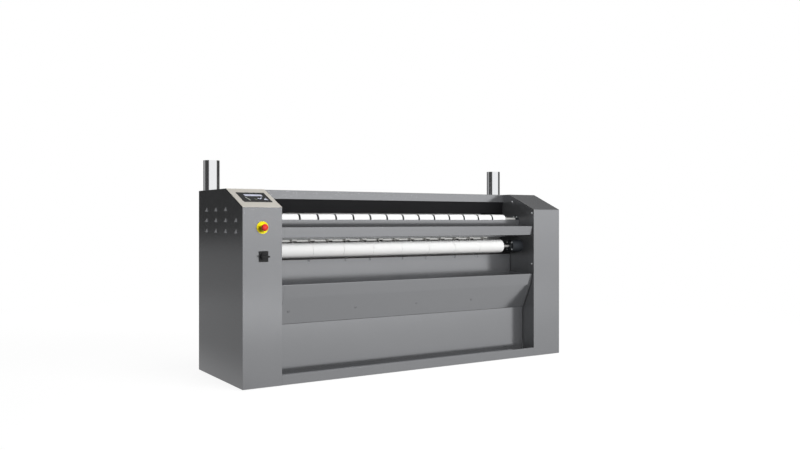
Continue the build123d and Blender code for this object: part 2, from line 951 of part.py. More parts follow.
def duct(shrink):
    """Duct from the scroll's square outlet to the round pipe."""
    with BuildSketch(Plane(origin=(*outlet_middle, fan_outlet_height))) as square_end:
        Rectangle(outlet_size[0] - 2 * shrink, outlet_size[1] - 2 * shrink)
    round_at = (pipe_x, front + pipe_depth, fan_outlet_height + fan_duct_rise)
    with BuildSketch(Plane(origin=round_at)) as round_end:
        Circle(crimp_radius + seam + fan_wall - shrink)
    loft([square_end.sketch, round_end.sketch], mode=Mode.SUBTRACT if shrink else Mode.ADD)


with BuildPart() as fan_housing:
    with BuildSketch(side_plane(fan_start)):
        scroll_face(0, fan_outlet_height)
    extrude(amount=fan_width)
    duct(0)
    with BuildSketch(level_plane(fan_outlet_height + fan_duct_rise)):
        with Locations((pipe_x, pipe_depth)):
            Circle(crimp_radius + seam + fan_wall)
    extrude(amount=fan_collar_top - fan_outlet_height - fan_duct_rise)
    with BuildSketch(side_plane(fan_start + fan_wall)):
        scroll_face(fan_wall, fan_outlet_height)
    extrude(amount=fan_width - 2 * fan_wall, mode=Mode.SUBTRACT)
    duct(fan_wall)
    with BuildSketch(level_plane(fan_outlet_height + fan_duct_rise)):
        with Locations((pipe_x, pipe_depth)):
            Circle(crimp_radius + seam)
    extrude(amount=fan_collar_top - fan_outlet_height, mode=Mode.SUBTRACT)
    disc(fan_at, fan_inlet, (fan_start, fan_start + fan_wall), mode=Mode.SUBTRACT)
    for angle in standoff_angles:
        disc(polar(angle, standoff_ring), standoff_radius, (frame_back, fan_start))
    mirror(about=Plane.YZ)
finish(fan_housing, "fan_housings")

wheel_back = fan_start + fan_width - 2 * fan_wall - 4 * seam - wheel_plate
wheel_front = fan_start + fan_wall + inlet_gap
hub_front = wheel_front + hub_depth
motor_clear = wheel_hub - wheel_plate
with BuildPart() as fan_motors:
    disc(fan_at, fan_motor_radius, (hub_front + motor_gap, fan_start + fan_width - fan_wall))
    disc(fan_at, fan_shaft, (hub_front - motor_gap, hub_front + motor_gap))
    mirror(about=Plane.YZ)
finish(fan_motors, "fan_motors")

with BuildPart() as fan_wheel:
    turned(
        fan_at,
        (hub_front, fan_shaft + run_fit),
        (hub_front, wheel_hub),
        (wheel_back, wheel_hub),
        (wheel_back, wheel_radius),
        (wheel_back + wheel_plate, wheel_radius),
        (wheel_back + wheel_plate, motor_clear),
        (hub_front + wheel_plate, motor_clear),
        (hub_front + wheel_plate, fan_shaft + run_fit),
    )
    with BuildSketch(side_plane(wheel_front)):
        with Locations(fan_at):
            Circle(wheel_radius)
            Circle(wheel_radius - wheel_ring, mode=Mode.SUBTRACT)
    extrude(amount=wheel_plate)
    with BuildSketch(side_plane(wheel_front)):
        with Locations(fan_at):
            with PolarLocations(wheel_radius - wheel_ring, blade_count):
                Rectangle(blade_length, wheel_plate, rotation=blade_turn)
    extrude(amount=wheel_back - wheel_front)
finish_mirrored(fan_wheel, "fan_wheel")

# ---- Rollers ----
shaft_end = frame_back + 2 * flange_plate + shaft_stub
with BuildPart() as feed_roller:
    tube_roller(
        feed_at,
        feed_loop[0][2],
        (feed_left, feed_left + feed_count * feed_pitch - feed_gap),
        shaft,
        (-frame_back, frame_back),
    )
finish(feed_roller, "feed_roller")

with BuildPart() as inner_feed_roller:
    tube_roller(
        inner_feed_at,
        feed_loop[1][2],
        (feed_left, feed_left + feed_count * feed_pitch - feed_gap),
        shaft,
        (-shaft_end, pulley_start + pulley_width + pulley_flange),
    )
finish(inner_feed_roller, "inner_feed_roller")

iron_span = (iron_left, iron_left + iron_count * iron_pitch - iron_gap)
with BuildPart() as lower_roller:
    tube_roller(lower_at, iron_loop[1][2], iron_span, lower_shaft, (-frame_back, frame_back))
finish(lower_roller, "lower_roller")

with BuildPart() as guide_roller:
    tube_roller(guide_at, guide_radius, iron_span, shaft, (-shaft_end, shaft_end))
finish(guide_roller, "guide_roller")

with BuildPart() as press_roller:
    tube_roller(press_at, idler_core, iron_span, shaft, (-shaft_end, shaft_end))
finish(press_roller, "press_roller")

with BuildPart() as rear_roller:
    tube_roller(rear_at, idler_core, iron_span, shaft, (-shaft_end, shaft_end))
finish(rear_roller, "rear_roller")

arm_back = arm_face + arm_plate
with BuildPart() as tension_roller:
    tube_roller(tension_at, idler_core, iron_span, shaft, (-arm_back, arm_back))
finish(tension_roller, "tension_roller")

# ---- Tension arms: the roller's weight keeps the ironing belts tight ----
arm_reach = (arm_pivot_at[0] - tension_at[0], arm_pivot_at[1] - tension_at[1])
arm_side = arm_width / 2 / hypot(*arm_reach)
across = (-arm_reach[1] * arm_side, arm_reach[0] * arm_side)
with BuildPart() as tension_arms:
    with BuildSketch(side_plane(arm_face)):
        with Locations(tension_at, arm_pivot_at):
            Circle(arm_width / 2)
        outline(
            (tension_at[0] + across[0], tension_at[1] + across[1]),
            (arm_pivot_at[0] + across[0], arm_pivot_at[1] + across[1]),
            (arm_pivot_at[0] - across[0], arm_pivot_at[1] - across[1]),
            (tension_at[0] - across[0], tension_at[1] - across[1]),
        )
        with Locations(tension_at):
            Circle(shaft + run_fit, mode=Mode.SUBTRACT)
    extrude(amount=arm_plate)
    disc(arm_pivot_at, 2 * arm_pin, (arm_back, frame_face - seam))
    disc(arm_pivot_at, arm_pin, (frame_face - seam, frame_back + frame_plate))
    mirror(about=Plane.YZ)
finish(tension_arms, "tension_arms")

# ---- Heated roll with its journals ----
disc_left = roll_left + roll_recess
disc_right = roll_right - roll_recess
journal_left = frame_back + 54.0
journal_step = frame_back + 52.0
journal_right = gearbox_start + gearbox_width + 10.0
roll_inside = roll_radius - roll_wall
with BuildPart() as heated_roll:
    turned(
        roll_at,
        (-journal_left, journal_bore),
        (-journal_left, journal),
        (disc_left, journal),
        (disc_left, roll_inside),
        (roll_left, roll_inside),
        (roll_left, roll_radius),
        (roll_right, roll_radius),
        (roll_right, roll_inside),
        (disc_right, roll_inside),
        (disc_right, journal),
        (journal_step, journal),
        (journal_step, drive_journal),
        (journal_right, drive_journal),
        (journal_right, journal_bore),
        (disc_right - roll_disc, journal_bore),
        (disc_right - roll_disc, roll_inside),
        (disc_left + roll_disc, roll_inside),
        (disc_left + roll_disc, journal_bore),
    )
finish(heated_roll, "heated_roll")

# ---- Bearings ----
with BuildPart() as roll_bearings:
    with BuildSketch(side_plane(frame_back)):
        with Locations(roll_at):
            Rectangle(2 * roll_flange, 2 * roll_flange)
            Circle(journal + run_fit, mode=Mode.SUBTRACT)
    extrude(amount=roll_flange_plate)
    with BuildSketch(side_plane(frame_back + roll_flange_plate)):
        with Locations(roll_at):
            Circle(roll_collar)
            Circle(journal + run_fit, mode=Mode.SUBTRACT)
    extrude(amount=roll_collar_length)
    mirror(about=Plane.YZ)
finish(roll_bearings, "roll_bearings")


def flange_bearing(at, bore, radius, x, towards):
    """Round flange with a raised hub; towards is the way that the hub points along x."""
    inside = bore + run_fit
    middle = x + towards * flange_plate
    tip = middle + towards * flange_plate
    turned(
        at,
        (x, inside),
        (x, radius),
        (middle, radius),
        (middle, radius * hub_share),
        (tip, radius * hub_share),
        (tip, inside),
    )


with BuildPart() as front_bearings:
    flange_bearing(feed_at, shaft, feed_flange, bay, -1)
    mirror(about=Plane.YZ)
    flange_bearing(lower_at, lower_shaft, lower_flange, -bay, 1)
    flange_bearing(lower_at, lower_shaft, lower_housing, bay - housing_reach, -1)
    disc(lower_at, lower_housing, (bay - housing_reach, bay))
    disc(lower_at, lower_shaft + run_fit, (bay - housing_reach, bay), Mode.SUBTRACT)
finish(front_bearings, "front_bearings")

with BuildPart() as roller_bearings:
    for at in (inner_feed_at, guide_at, press_at, rear_at):
        flange_bearing(at, shaft, shaft_flange, frame_back, 1)
    mirror(about=Plane.YZ)
finish(roller_bearings, "roller_bearings")

# ---- Belts ----
with BuildPart() as ironing_belts:
    for i in range(iron_count):
        belt_band(iron_loop, iron_belt, belt_gap, iron_left + i * iron_pitch, iron_pitch - iron_gap)
finish(ironing_belts, "ironing_belts")

with BuildPart() as feed_belts:
    for i in range(feed_count):
        belt_band(feed_loop, feed_belt, belt_gap, feed_left + i * feed_pitch, feed_pitch - feed_gap)
finish(feed_belts, "feed_belts")

# ---- Stripper bar, its finger holders and the fingers that lie against the roll ----
with BuildPart() as stripper_bar:
    with BuildSketch(side_plane(-bar_half)):
        bent_sheet(
            (bar_back, bar_top),
            (bar_front, bar_top),
            (bar_front, bar_top - bar_drop),
            radius=bend,
            plate=bar_plate,
        )
    extrude(amount=2 * bar_half)
    block((-bay, bay), (bar_back - 3 * bar_plate, bar_back), (bar_top - bar_plate, bar_top))
finish(stripper_bar, "stripper_bar")

finger_xs = [finger_first + i * feed_pitch for i in range(finger_count)]
holder_top = bar_top - bar_plate
with BuildPart() as stripper_holders:
    for finger_x in finger_xs:
        with BuildSketch(side_plane(finger_x - holder_width / 2)):
            outline(
                (holder_front, holder_top),
                (bar_back, holder_top),
                (bar_back, holder_bottom),
                (holder_front + 7, holder_bottom),
                (holder_front, holder_bottom + 7),
            )
        extrude(amount=holder_width)
finish(stripper_holders, "stripper_holders")

tip_depth = roll_at[0] - (roll_radius**2 - (finger_tip - roll_at[1]) ** 2) ** 0.5 - belt_gap
with BuildPart() as stripper_fingers:
    for finger_x in finger_xs:
        with BuildSketch(side_plane(finger_x - finger_width / 2)):
            outline(
                (bar_back, holder_top - bar_plate),
                (bar_back + finger_plate, holder_top - bar_plate),
                (bar_back + finger_plate, holder_bottom - 5),
                (tip_depth, finger_tip),
                (bar_back, holder_bottom - 5),
            )
        extrude(amount=finger_width)
finish(stripper_fingers, "stripper_fingers")

# ---- Fixed support tube through the roll, and the heating elements on it ----
bracket_depth = roll_at[0] + 148.0
bracket_bar = 25.0
with BuildPart() as element_support:
    with BuildSketch(side_plane(-support_end)):
        with Locations(roll_at):
            Circle(support_radius)
            Circle(support_radius - support_wall, mode=Mode.SUBTRACT)
    extrude(amount=2 * support_end)
    for place in spider_places:
        with BuildSketch(side_plane(place)):
            with Locations(roll_at):
                with PolarLocations(0, element_count // 2, angular_range=180):
                    Rectangle(2 * (element_ring - element_radius), spider_bar)
                Circle(support_radius - support_wall, mode=Mode.SUBTRACT)
        extrude(amount=spider_plate)
    for low, high in ((-support_end, -frame_back), (frame_back, support_end)):
        tip = low if low < 0 else high - support_bar
        block(
            (tip, tip + support_bar),
            (roll_at[0] + support_radius - support_wall, bracket_depth),
            (roll_at[1] - bracket_bar, roll_at[1]),
        )
        block(
            (low, high),
            (bracket_depth - support_bar, bracket_depth),
            (roll_at[1] - bracket_bar, roll_at[1]),
        )
finish(element_support, "element_support")

with BuildPart() as heating_elements:
    with BuildSketch(side_plane(element_left)):
        with Locations(roll_at):
            with PolarLocations(element_ring, element_count):
                Circle(element_radius)
    extrude(amount=element_right - element_left)
finish(heating_elements, "heating_elements")

# ---- Drive: shaft-mounted gearbox with its motor, and a belt to the inner feed roller ----
pulley_end = pulley_start + pulley_width
with BuildPart() as roll_pulley:
    turned(
        roll_at,
        (pulley_start, drive_journal + run_fit),
        (pulley_start, pulley_radius + pulley_flange),
        (pulley_start + pulley_flange, pulley_radius + pulley_flange),
        (pulley_start + pulley_flange, pulley_radius),
        (pulley_end - pulley_flange, pulley_radius),
        (pulley_end - pulley_flange, pulley_radius + pulley_flange),
        (pulley_end, pulley_radius + pulley_flange),
        (pulley_end, pulley_radius - pulley_web),
        (pulley_end - pulley_web / 2, pulley_radius - pulley_web),
        (pulley_end - pulley_web / 2, pulley_hub),
        (pulley_end, pulley_hub),
        (pulley_end, drive_journal + run_fit),
    )
finish(roll_pulley, "roll_pulley")

with BuildPart() as feed_pulley:
    turned(
        inner_feed_at,
        (pulley_start, shaft + run_fit),
        (pulley_start, small_pulley_radius),
        (pulley_end, small_pulley_radius),
        (pulley_end, shaft + run_fit),
    )
finish(feed_pulley, "feed_pulley")

with BuildPart() as feed_drive_belt:
    belt_band(
        drive_loop,
        drive_belt,
        belt_gap,
        pulley_start + pulley_flange + seam,
        pulley_width - 2 * (pulley_flange + seam),
    )
finish(feed_drive_belt, "feed_drive_belt")

worm_depth = roll_at[0] - worm_offset
gearbox_middle = gearbox_start + gearbox_width / 2
with BuildPart() as drive_gearbox:
    disc(roll_at, gearbox_radius, (gearbox_start, gearbox_start + gearbox_width))
    block(
        (gearbox_middle - 32, gearbox_middle + 32),
        (worm_depth - 30, worm_depth + 30),
        (motor_top, roll_at[1] + 55),
    )
    block(
        (gearbox_middle - motor_neck_radius, gearbox_middle + motor_neck_radius),
        (worm_depth - motor_neck_radius, worm_depth + motor_neck_radius),
        (motor_top, motor_top + 10),
    )
    disc(roll_at, drive_journal + run_fit, (gearbox_start, gearbox_start + gearbox_width), mode=Mode.SUBTRACT)
    block(
        (gearbox_start, gearbox_start + support_bar),
        (roll_at[0], roll_at[0] + torque_offset + torque_bar / 2),
        (roll_at[1] - torque_drop, roll_at[1] - gearbox_radius / 2),
    )
    block(
        (frame_back, gearbox_start + support_bar),
        (roll_at[0], roll_at[0] + torque_offset + torque_bar / 2),
        (roll_at[1] - torque_drop, roll_at[1] - torque_drop + support_bar),
    )
finish(drive_gearbox, "drive_gearbox")

motor_foot = motor_top - motor_length
with BuildPart() as drive_motor:
    with BuildSketch(Plane(origin=(gearbox_middle, front + worm_depth, motor_foot))):
        Circle(motor_radius)
        with PolarLocations(motor_radius, motor_fins):
            Rectangle(motor_slot, motor_slot, mode=Mode.SUBTRACT)
    extrude(amount=motor_length - motor_neck)
    with BuildSketch(Plane(origin=(gearbox_middle, front + worm_depth, motor_top - motor_neck))):
        Circle(motor_neck_radius)
    extrude(amount=motor_neck)
    block(
        (gearbox_middle - terminal_box[0] / 2, gearbox_middle + terminal_box[0] / 2),
        (worm_depth - motor_radius - terminal_box[2], worm_depth - motor_radius + 8),
        (motor_top - motor_neck - 20 - terminal_box[1], motor_top - motor_neck - 20),
    )
finish(drive_motor, "drive_motor")

# ---- Electrical plate with its rails, and the switchgear on it ----
plate_face = frame_back + plate_gap
rail_face = plate_face + sheet + rail_depth
with BuildPart() as electrical_plate:
    block((-plate_face - sheet, -plate_face), plate_depths, plate_heights)
    for at in standoffs:
        disc(at, standoff_radius, (-plate_face, -frame_back))
    for row_height, _, _, _ in gear_rows:
        block(
            (-plate_face - sheet - rail_depth, -plate_face - sheet),
            (plate_depths[0] + rail_margin, plate_depths[1] - rail_margin),
            (row_height - rail_half, row_height + rail_half),
        )
finish(electrical_plate, "electrical_plate")

with BuildPart() as switchgear:
    for row_height, gear_size, gear_depth, gear_count in gear_rows:
        for i in range(gear_count):
            gear_at = plate_depths[0] + 2 * rail_margin + i * (gear_size + sheet)
            block(
                (-rail_face - gear_depth, -rail_face),
                (gear_at, gear_at + gear_size),
                (row_height - gear_half, row_height + gear_half),
            )
finish(switchgear, "switchgear")

# ---- Emergency stop: collar with its yellow disc, and the mushroom button ----
with BuildPart() as stop_collar:
    with BuildSketch(face_plane(0)):
        with Locations((stop_x, stop_at[1])):
            Circle(stop_disc)
            Circle(stop_stem + run_fit, mode=Mode.SUBTRACT)
    extrude(amount=stop_disc_plate)
    with BuildSketch(face_plane(-stop_disc_plate)):
        with Locations((stop_x, stop_at[1])):
            Circle(stop_hub)
            Circle(stop_stem + run_fit, mode=Mode.SUBTRACT)
    extrude(amount=stop_hub_reach - stop_disc_plate)
    with BuildSketch(face_plane(0)):
        with Locations((stop_x, stop_at[1])):
            Circle(stop_thread)
            Circle(stop_stem + run_fit, mode=Mode.SUBTRACT)
    extrude(amount=-stop_back)
finish(stop_collar, "stop_collar")

stop_axis = Axis((stop_x, front, stop_at[1]), (0, 1, 0))
head_back = stop_reach - stop_head_depth
with BuildPart() as stop_button:
    with BuildSketch(Plane(origin=(stop_x, front, stop_at[1]), x_dir=(0, -1, 0), z_dir=(1, 0, 0))):
        with BuildLine():
            Polyline(
                (stop_reach, 0),
                (-stop_back + 2 * stop_disc_plate, 0),
                (-stop_back + 2 * stop_disc_plate, -stop_stem),
                (head_back - 8, -stop_stem),
                (head_back, -stop_head + 6),
                (head_back, -stop_head),
                (head_back + stop_rim, -stop_head),
                (stop_reach - stop_dome, -stop_head + stop_dome),
                (stop_reach, -stop_stem),
                (stop_reach, 0),
            )
        make_face()
    revolve(axis=stop_axis)
finish(stop_button, "stop_button")

# ---- Main switch: plate with its contact body, and the rotary handle ----
with BuildPart() as switch_plate:
    with BuildSketch(face_plane(0)):
        with Locations((switch_x, switch_at[1])):
            RectangleRounded(*switch_plate_size, bend)
    extrude(amount=switch_plate_depth)
    with BuildSketch(face_plane(0)):
        with Locations((switch_x, switch_at[1])):
            Rectangle(switch_body, switch_body)
    extrude(amount=-switch_body_depth)
    with BuildSketch(face_plane(-switch_plate_depth)):
        with Locations((switch_x, switch_at[1])):
            Circle(switch_shaft + run_fit)
    extrude(amount=-switch_plate_depth - switch_body_depth / 2, mode=Mode.SUBTRACT)
finish(switch_plate, "switch_plate")

knob_base = switch_plate_depth + seam
with BuildPart() as switch_knob:
    with BuildSketch(face_plane(-knob_base)):
        with Locations((switch_x, switch_at[1])):
            Circle(switch_knob_radius)
    extrude(amount=switch_knob_depth)
    with BuildSketch(face_plane(-knob_base - switch_knob_depth)):
        with Locations((switch_x, switch_at[1])):
            SlotOverall(*switch_bar)
    extrude(amount=switch_bar_reach - knob_base - switch_knob_depth)
    with BuildSketch(face_plane(-knob_base)):
        with Locations((switch_x, switch_at[1])):
            Circle(switch_shaft)
    extrude(amount=-knob_base - switch_body_depth / 2 + 2)
finish(switch_knob, "switch_knob")

# ---- Cable gland at the rear ----
with BuildPart() as cable_gland:
    with BuildSketch(face_plane(depth)):
        with Locations((-gland_x, gland_height)):
            RegularPolygon(gland_hex, 6)
    extrude(amount=-gland_nut)
    with BuildSketch(face_plane(depth + gland_nut)):
        with Locations((-gland_x, gland_height)):
            Circle(gland_cap)
    extrude(amount=gland_nut - gland_reach)
    with BuildSketch(face_plane(depth)):
        with Locations((-gland_x, gland_height)):
            Circle(gland_thread)
    extrude(amount=gland_inside)
    with BuildSketch(face_plane(depth - sheet)):
        with Locations((-gland_x, gland_height)):
            RegularPolygon(gland_hex, 6)
    extrude(amount=gland_locknut)
    with BuildSketch(face_plane(depth + gland_reach)):
        with Locations((-gland_x, gland_height)):
            Circle(gland_bore)
    extrude(amount=gland_reach + gland_inside, mode=Mode.SUBTRACT)
finish(cable_gland, "cable_gland")
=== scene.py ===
from math import cos, pi, radians, sin

import bmesh
import bpy
from mathutils import Matrix, Vector
from mathutils.bvhtree import BVHTree


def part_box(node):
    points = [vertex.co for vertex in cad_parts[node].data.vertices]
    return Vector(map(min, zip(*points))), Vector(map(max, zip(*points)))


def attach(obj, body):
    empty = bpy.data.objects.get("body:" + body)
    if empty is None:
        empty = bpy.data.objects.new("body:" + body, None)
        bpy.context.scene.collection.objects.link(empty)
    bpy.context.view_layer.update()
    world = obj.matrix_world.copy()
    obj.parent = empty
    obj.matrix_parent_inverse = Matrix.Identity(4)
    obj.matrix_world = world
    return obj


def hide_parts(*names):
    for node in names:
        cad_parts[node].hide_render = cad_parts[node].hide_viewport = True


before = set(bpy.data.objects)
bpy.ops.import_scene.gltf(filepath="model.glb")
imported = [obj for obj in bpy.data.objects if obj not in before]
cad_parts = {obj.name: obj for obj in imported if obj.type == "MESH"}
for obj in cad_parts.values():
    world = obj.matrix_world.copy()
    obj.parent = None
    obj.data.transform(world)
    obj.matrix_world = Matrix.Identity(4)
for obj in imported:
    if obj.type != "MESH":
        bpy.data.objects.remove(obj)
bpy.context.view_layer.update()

# Flatwork ironer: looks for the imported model. Metres; x to the operator's right, y to the rear.

# ---- Camera, fitted to the straight edges of the machine ----
CAMERA_AT = (-2.8545, -4.6181, 0.946)
CAMERA_TURN = -32.391
CAMERA_LENS = 36.491
CAMERA_SHIFT_Y = -0.005946

# ---- Studio floor, in metres; a brightness of 1 is white ----
FLOOR_SIZE = 60.0
# The floor fades into the background between these distances from the machine's middle.
FLOOR_FADE = (2.2, 5.0)
FLOOR_LIFT = 0.91
# The floor as gloss mirrors it: its brightness in front and at the rear, the y of both,
# its brightness right of the left side, and the x between which that begins.
FLOOR_IN_MIRROR = (0.76, 0.24)
FLOOR_MIRROR_FADE = (-4.0, 0.9)
FLOOR_AT_SIDES = 0.53
FLOOR_SIDE_FADE = (-1.7, -0.9)

# ---- Surroundings as gloss mirrors them ----
BACKGROUND = 1.0
FILL = 0.035
WALL_IN_MIRROR = 0.4
REAR_IN_MIRROR = 0.7
CEILING_IN_MIRROR = (0.06, 0.44)
# Bearings in degrees, clockwise from straight in front: each goes from dark to lit.
FRONT_STARTS = (-62, -48)
FRONT_ENDS = (66, 50)
WALL_STARTS = (-112, -124)
WALL_ENDS = (-154, -146)
REAR_STARTS = (118, 130)
REAR_GOES_ON = (-172, -180)
# Heights of the view direction, 1 being straight up.
REAR_TOP = (0.25, 0.5)
FRONT_TOP = (0.6, 0.9)
CEILING = (0.42, 0.68)

# ---- Sizes of the machine that the finishes and screws follow, in millimetres ----
MM = 0.001
# From the front covers to the middle of the machine.
FRONT = 360.0
FEED_PITCH = 122.65
FEED_GAP = 8.0
# Width in millimetres of the black band of painted shade along each feed belt's edge, and its
# blur.
GAP_SHADE_EDGE = 2.5
GAP_SHADE_BLUR = 0.5
WALL_CORNER = 10.0
# The slope that the feed tray's wall gains in each metre below its top.
WALL_CURL = 3.4
# From the machine's middle to the skin of the bay's end panels.
BAY_END = 941
FEED_SHAFT = (190, 954)
LOWER_SHAFT = (153, 766)
LOWER_HOUSING_RADIUS = 34
BACK_SCREWS = (-659, -401, -224, 29, 212, 456, 644)
TROUGH_SCREWS = (-876, -429, 17, 456)
END_SCREWS = ((232, 1079), (23, 996), (23, 643))
PRINT = 0.25


def linear(code):
    """An sRGB hex colour as the linear red, green, blue and alpha of a socket."""
    channels = [int(code[i : i + 2], 16) / 255 for i in (1, 3, 5)]
    return [c / 12.92 if c <= 0.04045 else ((c + 0.055) / 1.055) ** 2.4 for c in channels] + [1.0]


def per_mm(size):
    """Scale of a noise whose features are about size millimetres."""
    return 1000 / size


def bands_per_mm(spacing):
    """Scale of a wave whose bands are about spacing millimetres apart."""
    return per_mm(spacing) / 20


def add(tree, kind, sockets=(), **settings):
    """Adds one shader node: settings are its attributes, sockets its values and links."""
    made = tree.nodes.new("ShaderNode" + kind)
    for key, value in settings.items():
        setattr(made, key, value)
    for key, value in dict(sockets).items():
        if isinstance(value, bpy.types.NodeSocket):
            tree.links.new(value, made.inputs[key])
        else:
            made.inputs[key].default_value = value
    return made


def begin(name):
    """A new material, its tree and the Object coordinates."""
    made = bpy.data.materials.new(name)
    made.use_nodes = True
    made.node_tree.nodes.clear()
    return made, made.node_tree, add(made.node_tree, "TexCoord").outputs["Object"]


def end(tree, **sockets):
    """The Principled shader and the output; underscores in a socket's name stand for spaces."""
    shader = add(
        tree, "BsdfPrincipled", {key.replace("_", " "): value for key, value in sockets.items()}
    )
    add(tree, "OutputMaterial", {"Surface": shader.outputs[0]})


# ---- Finishes ----
def rolled_wall(tree, place, normal):
    """Bends the light on the feed tray's rear wall, as if it were rolled away under the feed
    belts: its grey darkens downwards, as on the lower side of a drum."""
    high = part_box("feed_tray")[1]
    at = add(tree, "SeparateXYZ", {"Vector": place})
    below = add(
        tree, "Math", {0: high[2], 1: at.outputs["Z"]}, operation="SUBTRACT", use_clamp=True
    )
    squared = add(tree, "Math", {0: below.outputs[0], 1: 2.0}, operation="POWER")
    sagged = add(
        tree, "Math", {0: squared.outputs[0], 1: -WALL_CURL / 2}, operation="MULTIPLY"
    )
    on_wall = add(
        tree,
        "Math",
        {0: at.outputs["Y"], 1: high[1] - WALL_CORNER * MM},
        operation="GREATER_THAN",
    )
    depth = add(
        tree, "Math", {0: sagged.outputs[0], 1: on_wall.outputs[0]}, operation="MULTIPLY"
    )
    curl = add(
        tree,
        "Bump",
        {"Height": depth.outputs[0], "Strength": 1.0, "Distance": 1.0, "Normal": normal},
    )
    return curl.outputs[0]


def powder_coat(name, shades, metallic, rough, shape=None):
    """Polyester powder coat full of metallic flake under a clear coat, baked on folded sheet.
    Silver grey with a satin mirror: the studio and the neighbouring panels show in it as soft
    bands, with faint orange peel and folded edges that catch the light. shades are those of
    the flake and of the coat at its darkest and lightest; shape bends the light on a sheet
    that is rolled."""
    made, tree, place = begin(name)
    flake = add(tree, "TexNoise", {"Vector": place, "Scale": per_mm(1.6), "Detail": 1.0})
    cloud = add(tree, "TexNoise", {"Vector": place, "Scale": per_mm(220), "Detail": 3.0})
    peel = add(tree, "TexNoise", {"Vector": place, "Scale": per_mm(7), "Detail": 0.0})
    glint, dark, light = (linear(code) for code in shades)
    tint = add(tree, "Mix", {0: cloud.outputs[0], 6: dark, 7: light}, data_type="RGBA")
    sparkle = add(
        tree, "Mix", {0: flake.outputs[0], 6: glint, 7: tint.outputs[2]}, data_type="RGBA"
    )
    gloss = add(
        tree, "MapRange", {"Value": cloud.outputs[0], "To Min": rough, "To Max": rough + 0.04}
    )
    edge = add(tree, "Bevel", {"Radius": 1.2 * MM}, samples=4).outputs[0]
    if shape:
        edge = shape(tree, place, edge)
    relief = add(
        tree,
        "Bump",
        {"Height": peel.outputs[0], "Strength": 0.02, "Distance": 0.4 * MM, "Normal": edge},
    )
    end(
        tree,
        Base_Color=sparkle.outputs[2],
        Metallic=metallic,
        Roughness=gloss.outputs[0],
        IOR=1.5,
        Normal=relief.outputs[0],
    )
    return made


def frame_enamel():
    """Structural enamel sprayed on welded steel: dark grey, low sheen, slight orange peel."""
    made, tree, place = begin("grey_structural_enamel")
    cloud = add(tree, "TexNoise", {"Vector": place, "Scale": per_mm(90), "Detail": 3.0})
    peel = add(tree, "TexNoise", {"Vector": place, "Scale": per_mm(3), "Detail": 1.0})
    tint = add(
        tree,
        "Mix",
        {0: cloud.outputs[0], 6: linear("#4e5052"), 7: linear("#5a5c5e")},
        data_type="RGBA",
    )
    relief = add(
        tree, "Bump", {"Height": peel.outputs[0], "Strength": 0.15, "Distance": 0.4 * MM}
    )
    end(tree, Base_Color=tint.outputs[2], Roughness=0.45, IOR=1.5, Normal=relief.outputs[0])
    return made


def turned_steel(name, dark, light, rough, line):
    """Steel turned and ground on a lathe: rings run round the axis, so the reflection
    is drawn out along x and breaks into fine lines. line is their spacing in millimetres."""
    made, tree, place = begin(name)
    stretch = add(tree, "Mapping", {"Vector": place, "Scale": (per_mm(line), 4.0, 4.0)})
    rings = add(tree, "TexNoise", {"Vector": stretch.outputs[0], "Scale": 1.0, "Detail": 2.0})
    tint = add(
        tree, "Mix", {0: rings.outputs[0], 6: linear(dark), 7: linear(light)}, data_type="RGBA"
    )
    gloss = add(
        tree,
        "MapRange",
        {"Value": rings.outputs[0], "To Min": rough * 0.8, "To Max": rough * 1.25},
    )
    relief = add(
        tree, "Bump", {"Height": rings.outputs[0], "Strength": 0.08, "Distance": 0.1 * MM}
    )
    end(
        tree,
        Base_Color=tint.outputs[2],
        Metallic=1.0,
        Roughness=gloss.outputs[0],
        Normal=relief.outputs[0],
    )
    return made


def bright_stainless():
    """Bright annealed stainless tube, belt polished: a near mirror with hairlines round it."""
    made, tree, place = begin("bright_stainless_tube")
    stretch = add(tree, "Mapping", {"Vector": place, "Scale": (6.0, 6.0, per_mm(1.2))})
    hair = add(tree, "TexNoise", {"Vector": stretch.outputs[0], "Scale": 1.0, "Detail": 2.0})
    gloss = add(tree, "MapRange", {"Value": hair.outputs[0], "To Min": 0.07, "To Max": 0.13})
    relief = add(
        tree, "Bump", {"Height": hair.outputs[0], "Strength": 0.02, "Distance": 0.1 * MM}
    )
    end(
        tree,
        Base_Color=linear("#ebecee"),
        Metallic=1.0,
        Roughness=gloss.outputs[0],
        Normal=relief.outputs[0],
    )
    return made


def hot_dip_zinc(name, spangle):
    """Hot-dip galvanised sheet: pale blue-grey metal broken into crystals of zinc,
    each a little lighter or duller than its neighbour. spangle is their size in mm."""
    made, tree, place = begin(name)
    crystal = add(tree, "TexVoronoi", {"Vector": place, "Scale": per_mm(spangle)})
    haze = add(tree, "TexNoise", {"Vector": place, "Scale": per_mm(60), "Detail": 3.0})
    value = add(tree, "SeparateColor", {"Color": crystal.outputs["Color"]})
    tint = add(
        tree,
        "Mix",
        {0: value.outputs[0], 6: linear("#a4aaae"), 7: linear("#bfc4c7")},
        data_type="RGBA",
    )
    gloss = add(tree, "MapRange", {"Value": value.outputs[1], "To Min": 0.32, "To Max": 0.5})
    relief = add(
        tree, "Bump", {"Height": haze.outputs[0], "Strength": 0.1, "Distance": 0.3 * MM}
    )
    end(
        tree,
        Base_Color=tint.outputs[2],
        Metallic=1.0,
        Roughness=gloss.outputs[0],
        Normal=relief.outputs[0],
    )
    return made


def zinc_plate():
    """Bright zinc-plated steel of screws and feet: bluish, small and shiny, slightly cloudy."""
    made, tree, place = begin("bright_zinc_plate")
    cloud = add(tree, "TexNoise", {"Vector": place, "Scale": per_mm(4), "Detail": 2.0})
    gloss = add(tree, "MapRange", {"Value": cloud.outputs[0], "To Min": 0.2, "To Max": 0.34})
    end(tree, Base_Color=linear("#eef1f3"), Metallic=0.75, Roughness=gloss.outputs[0])
    return made


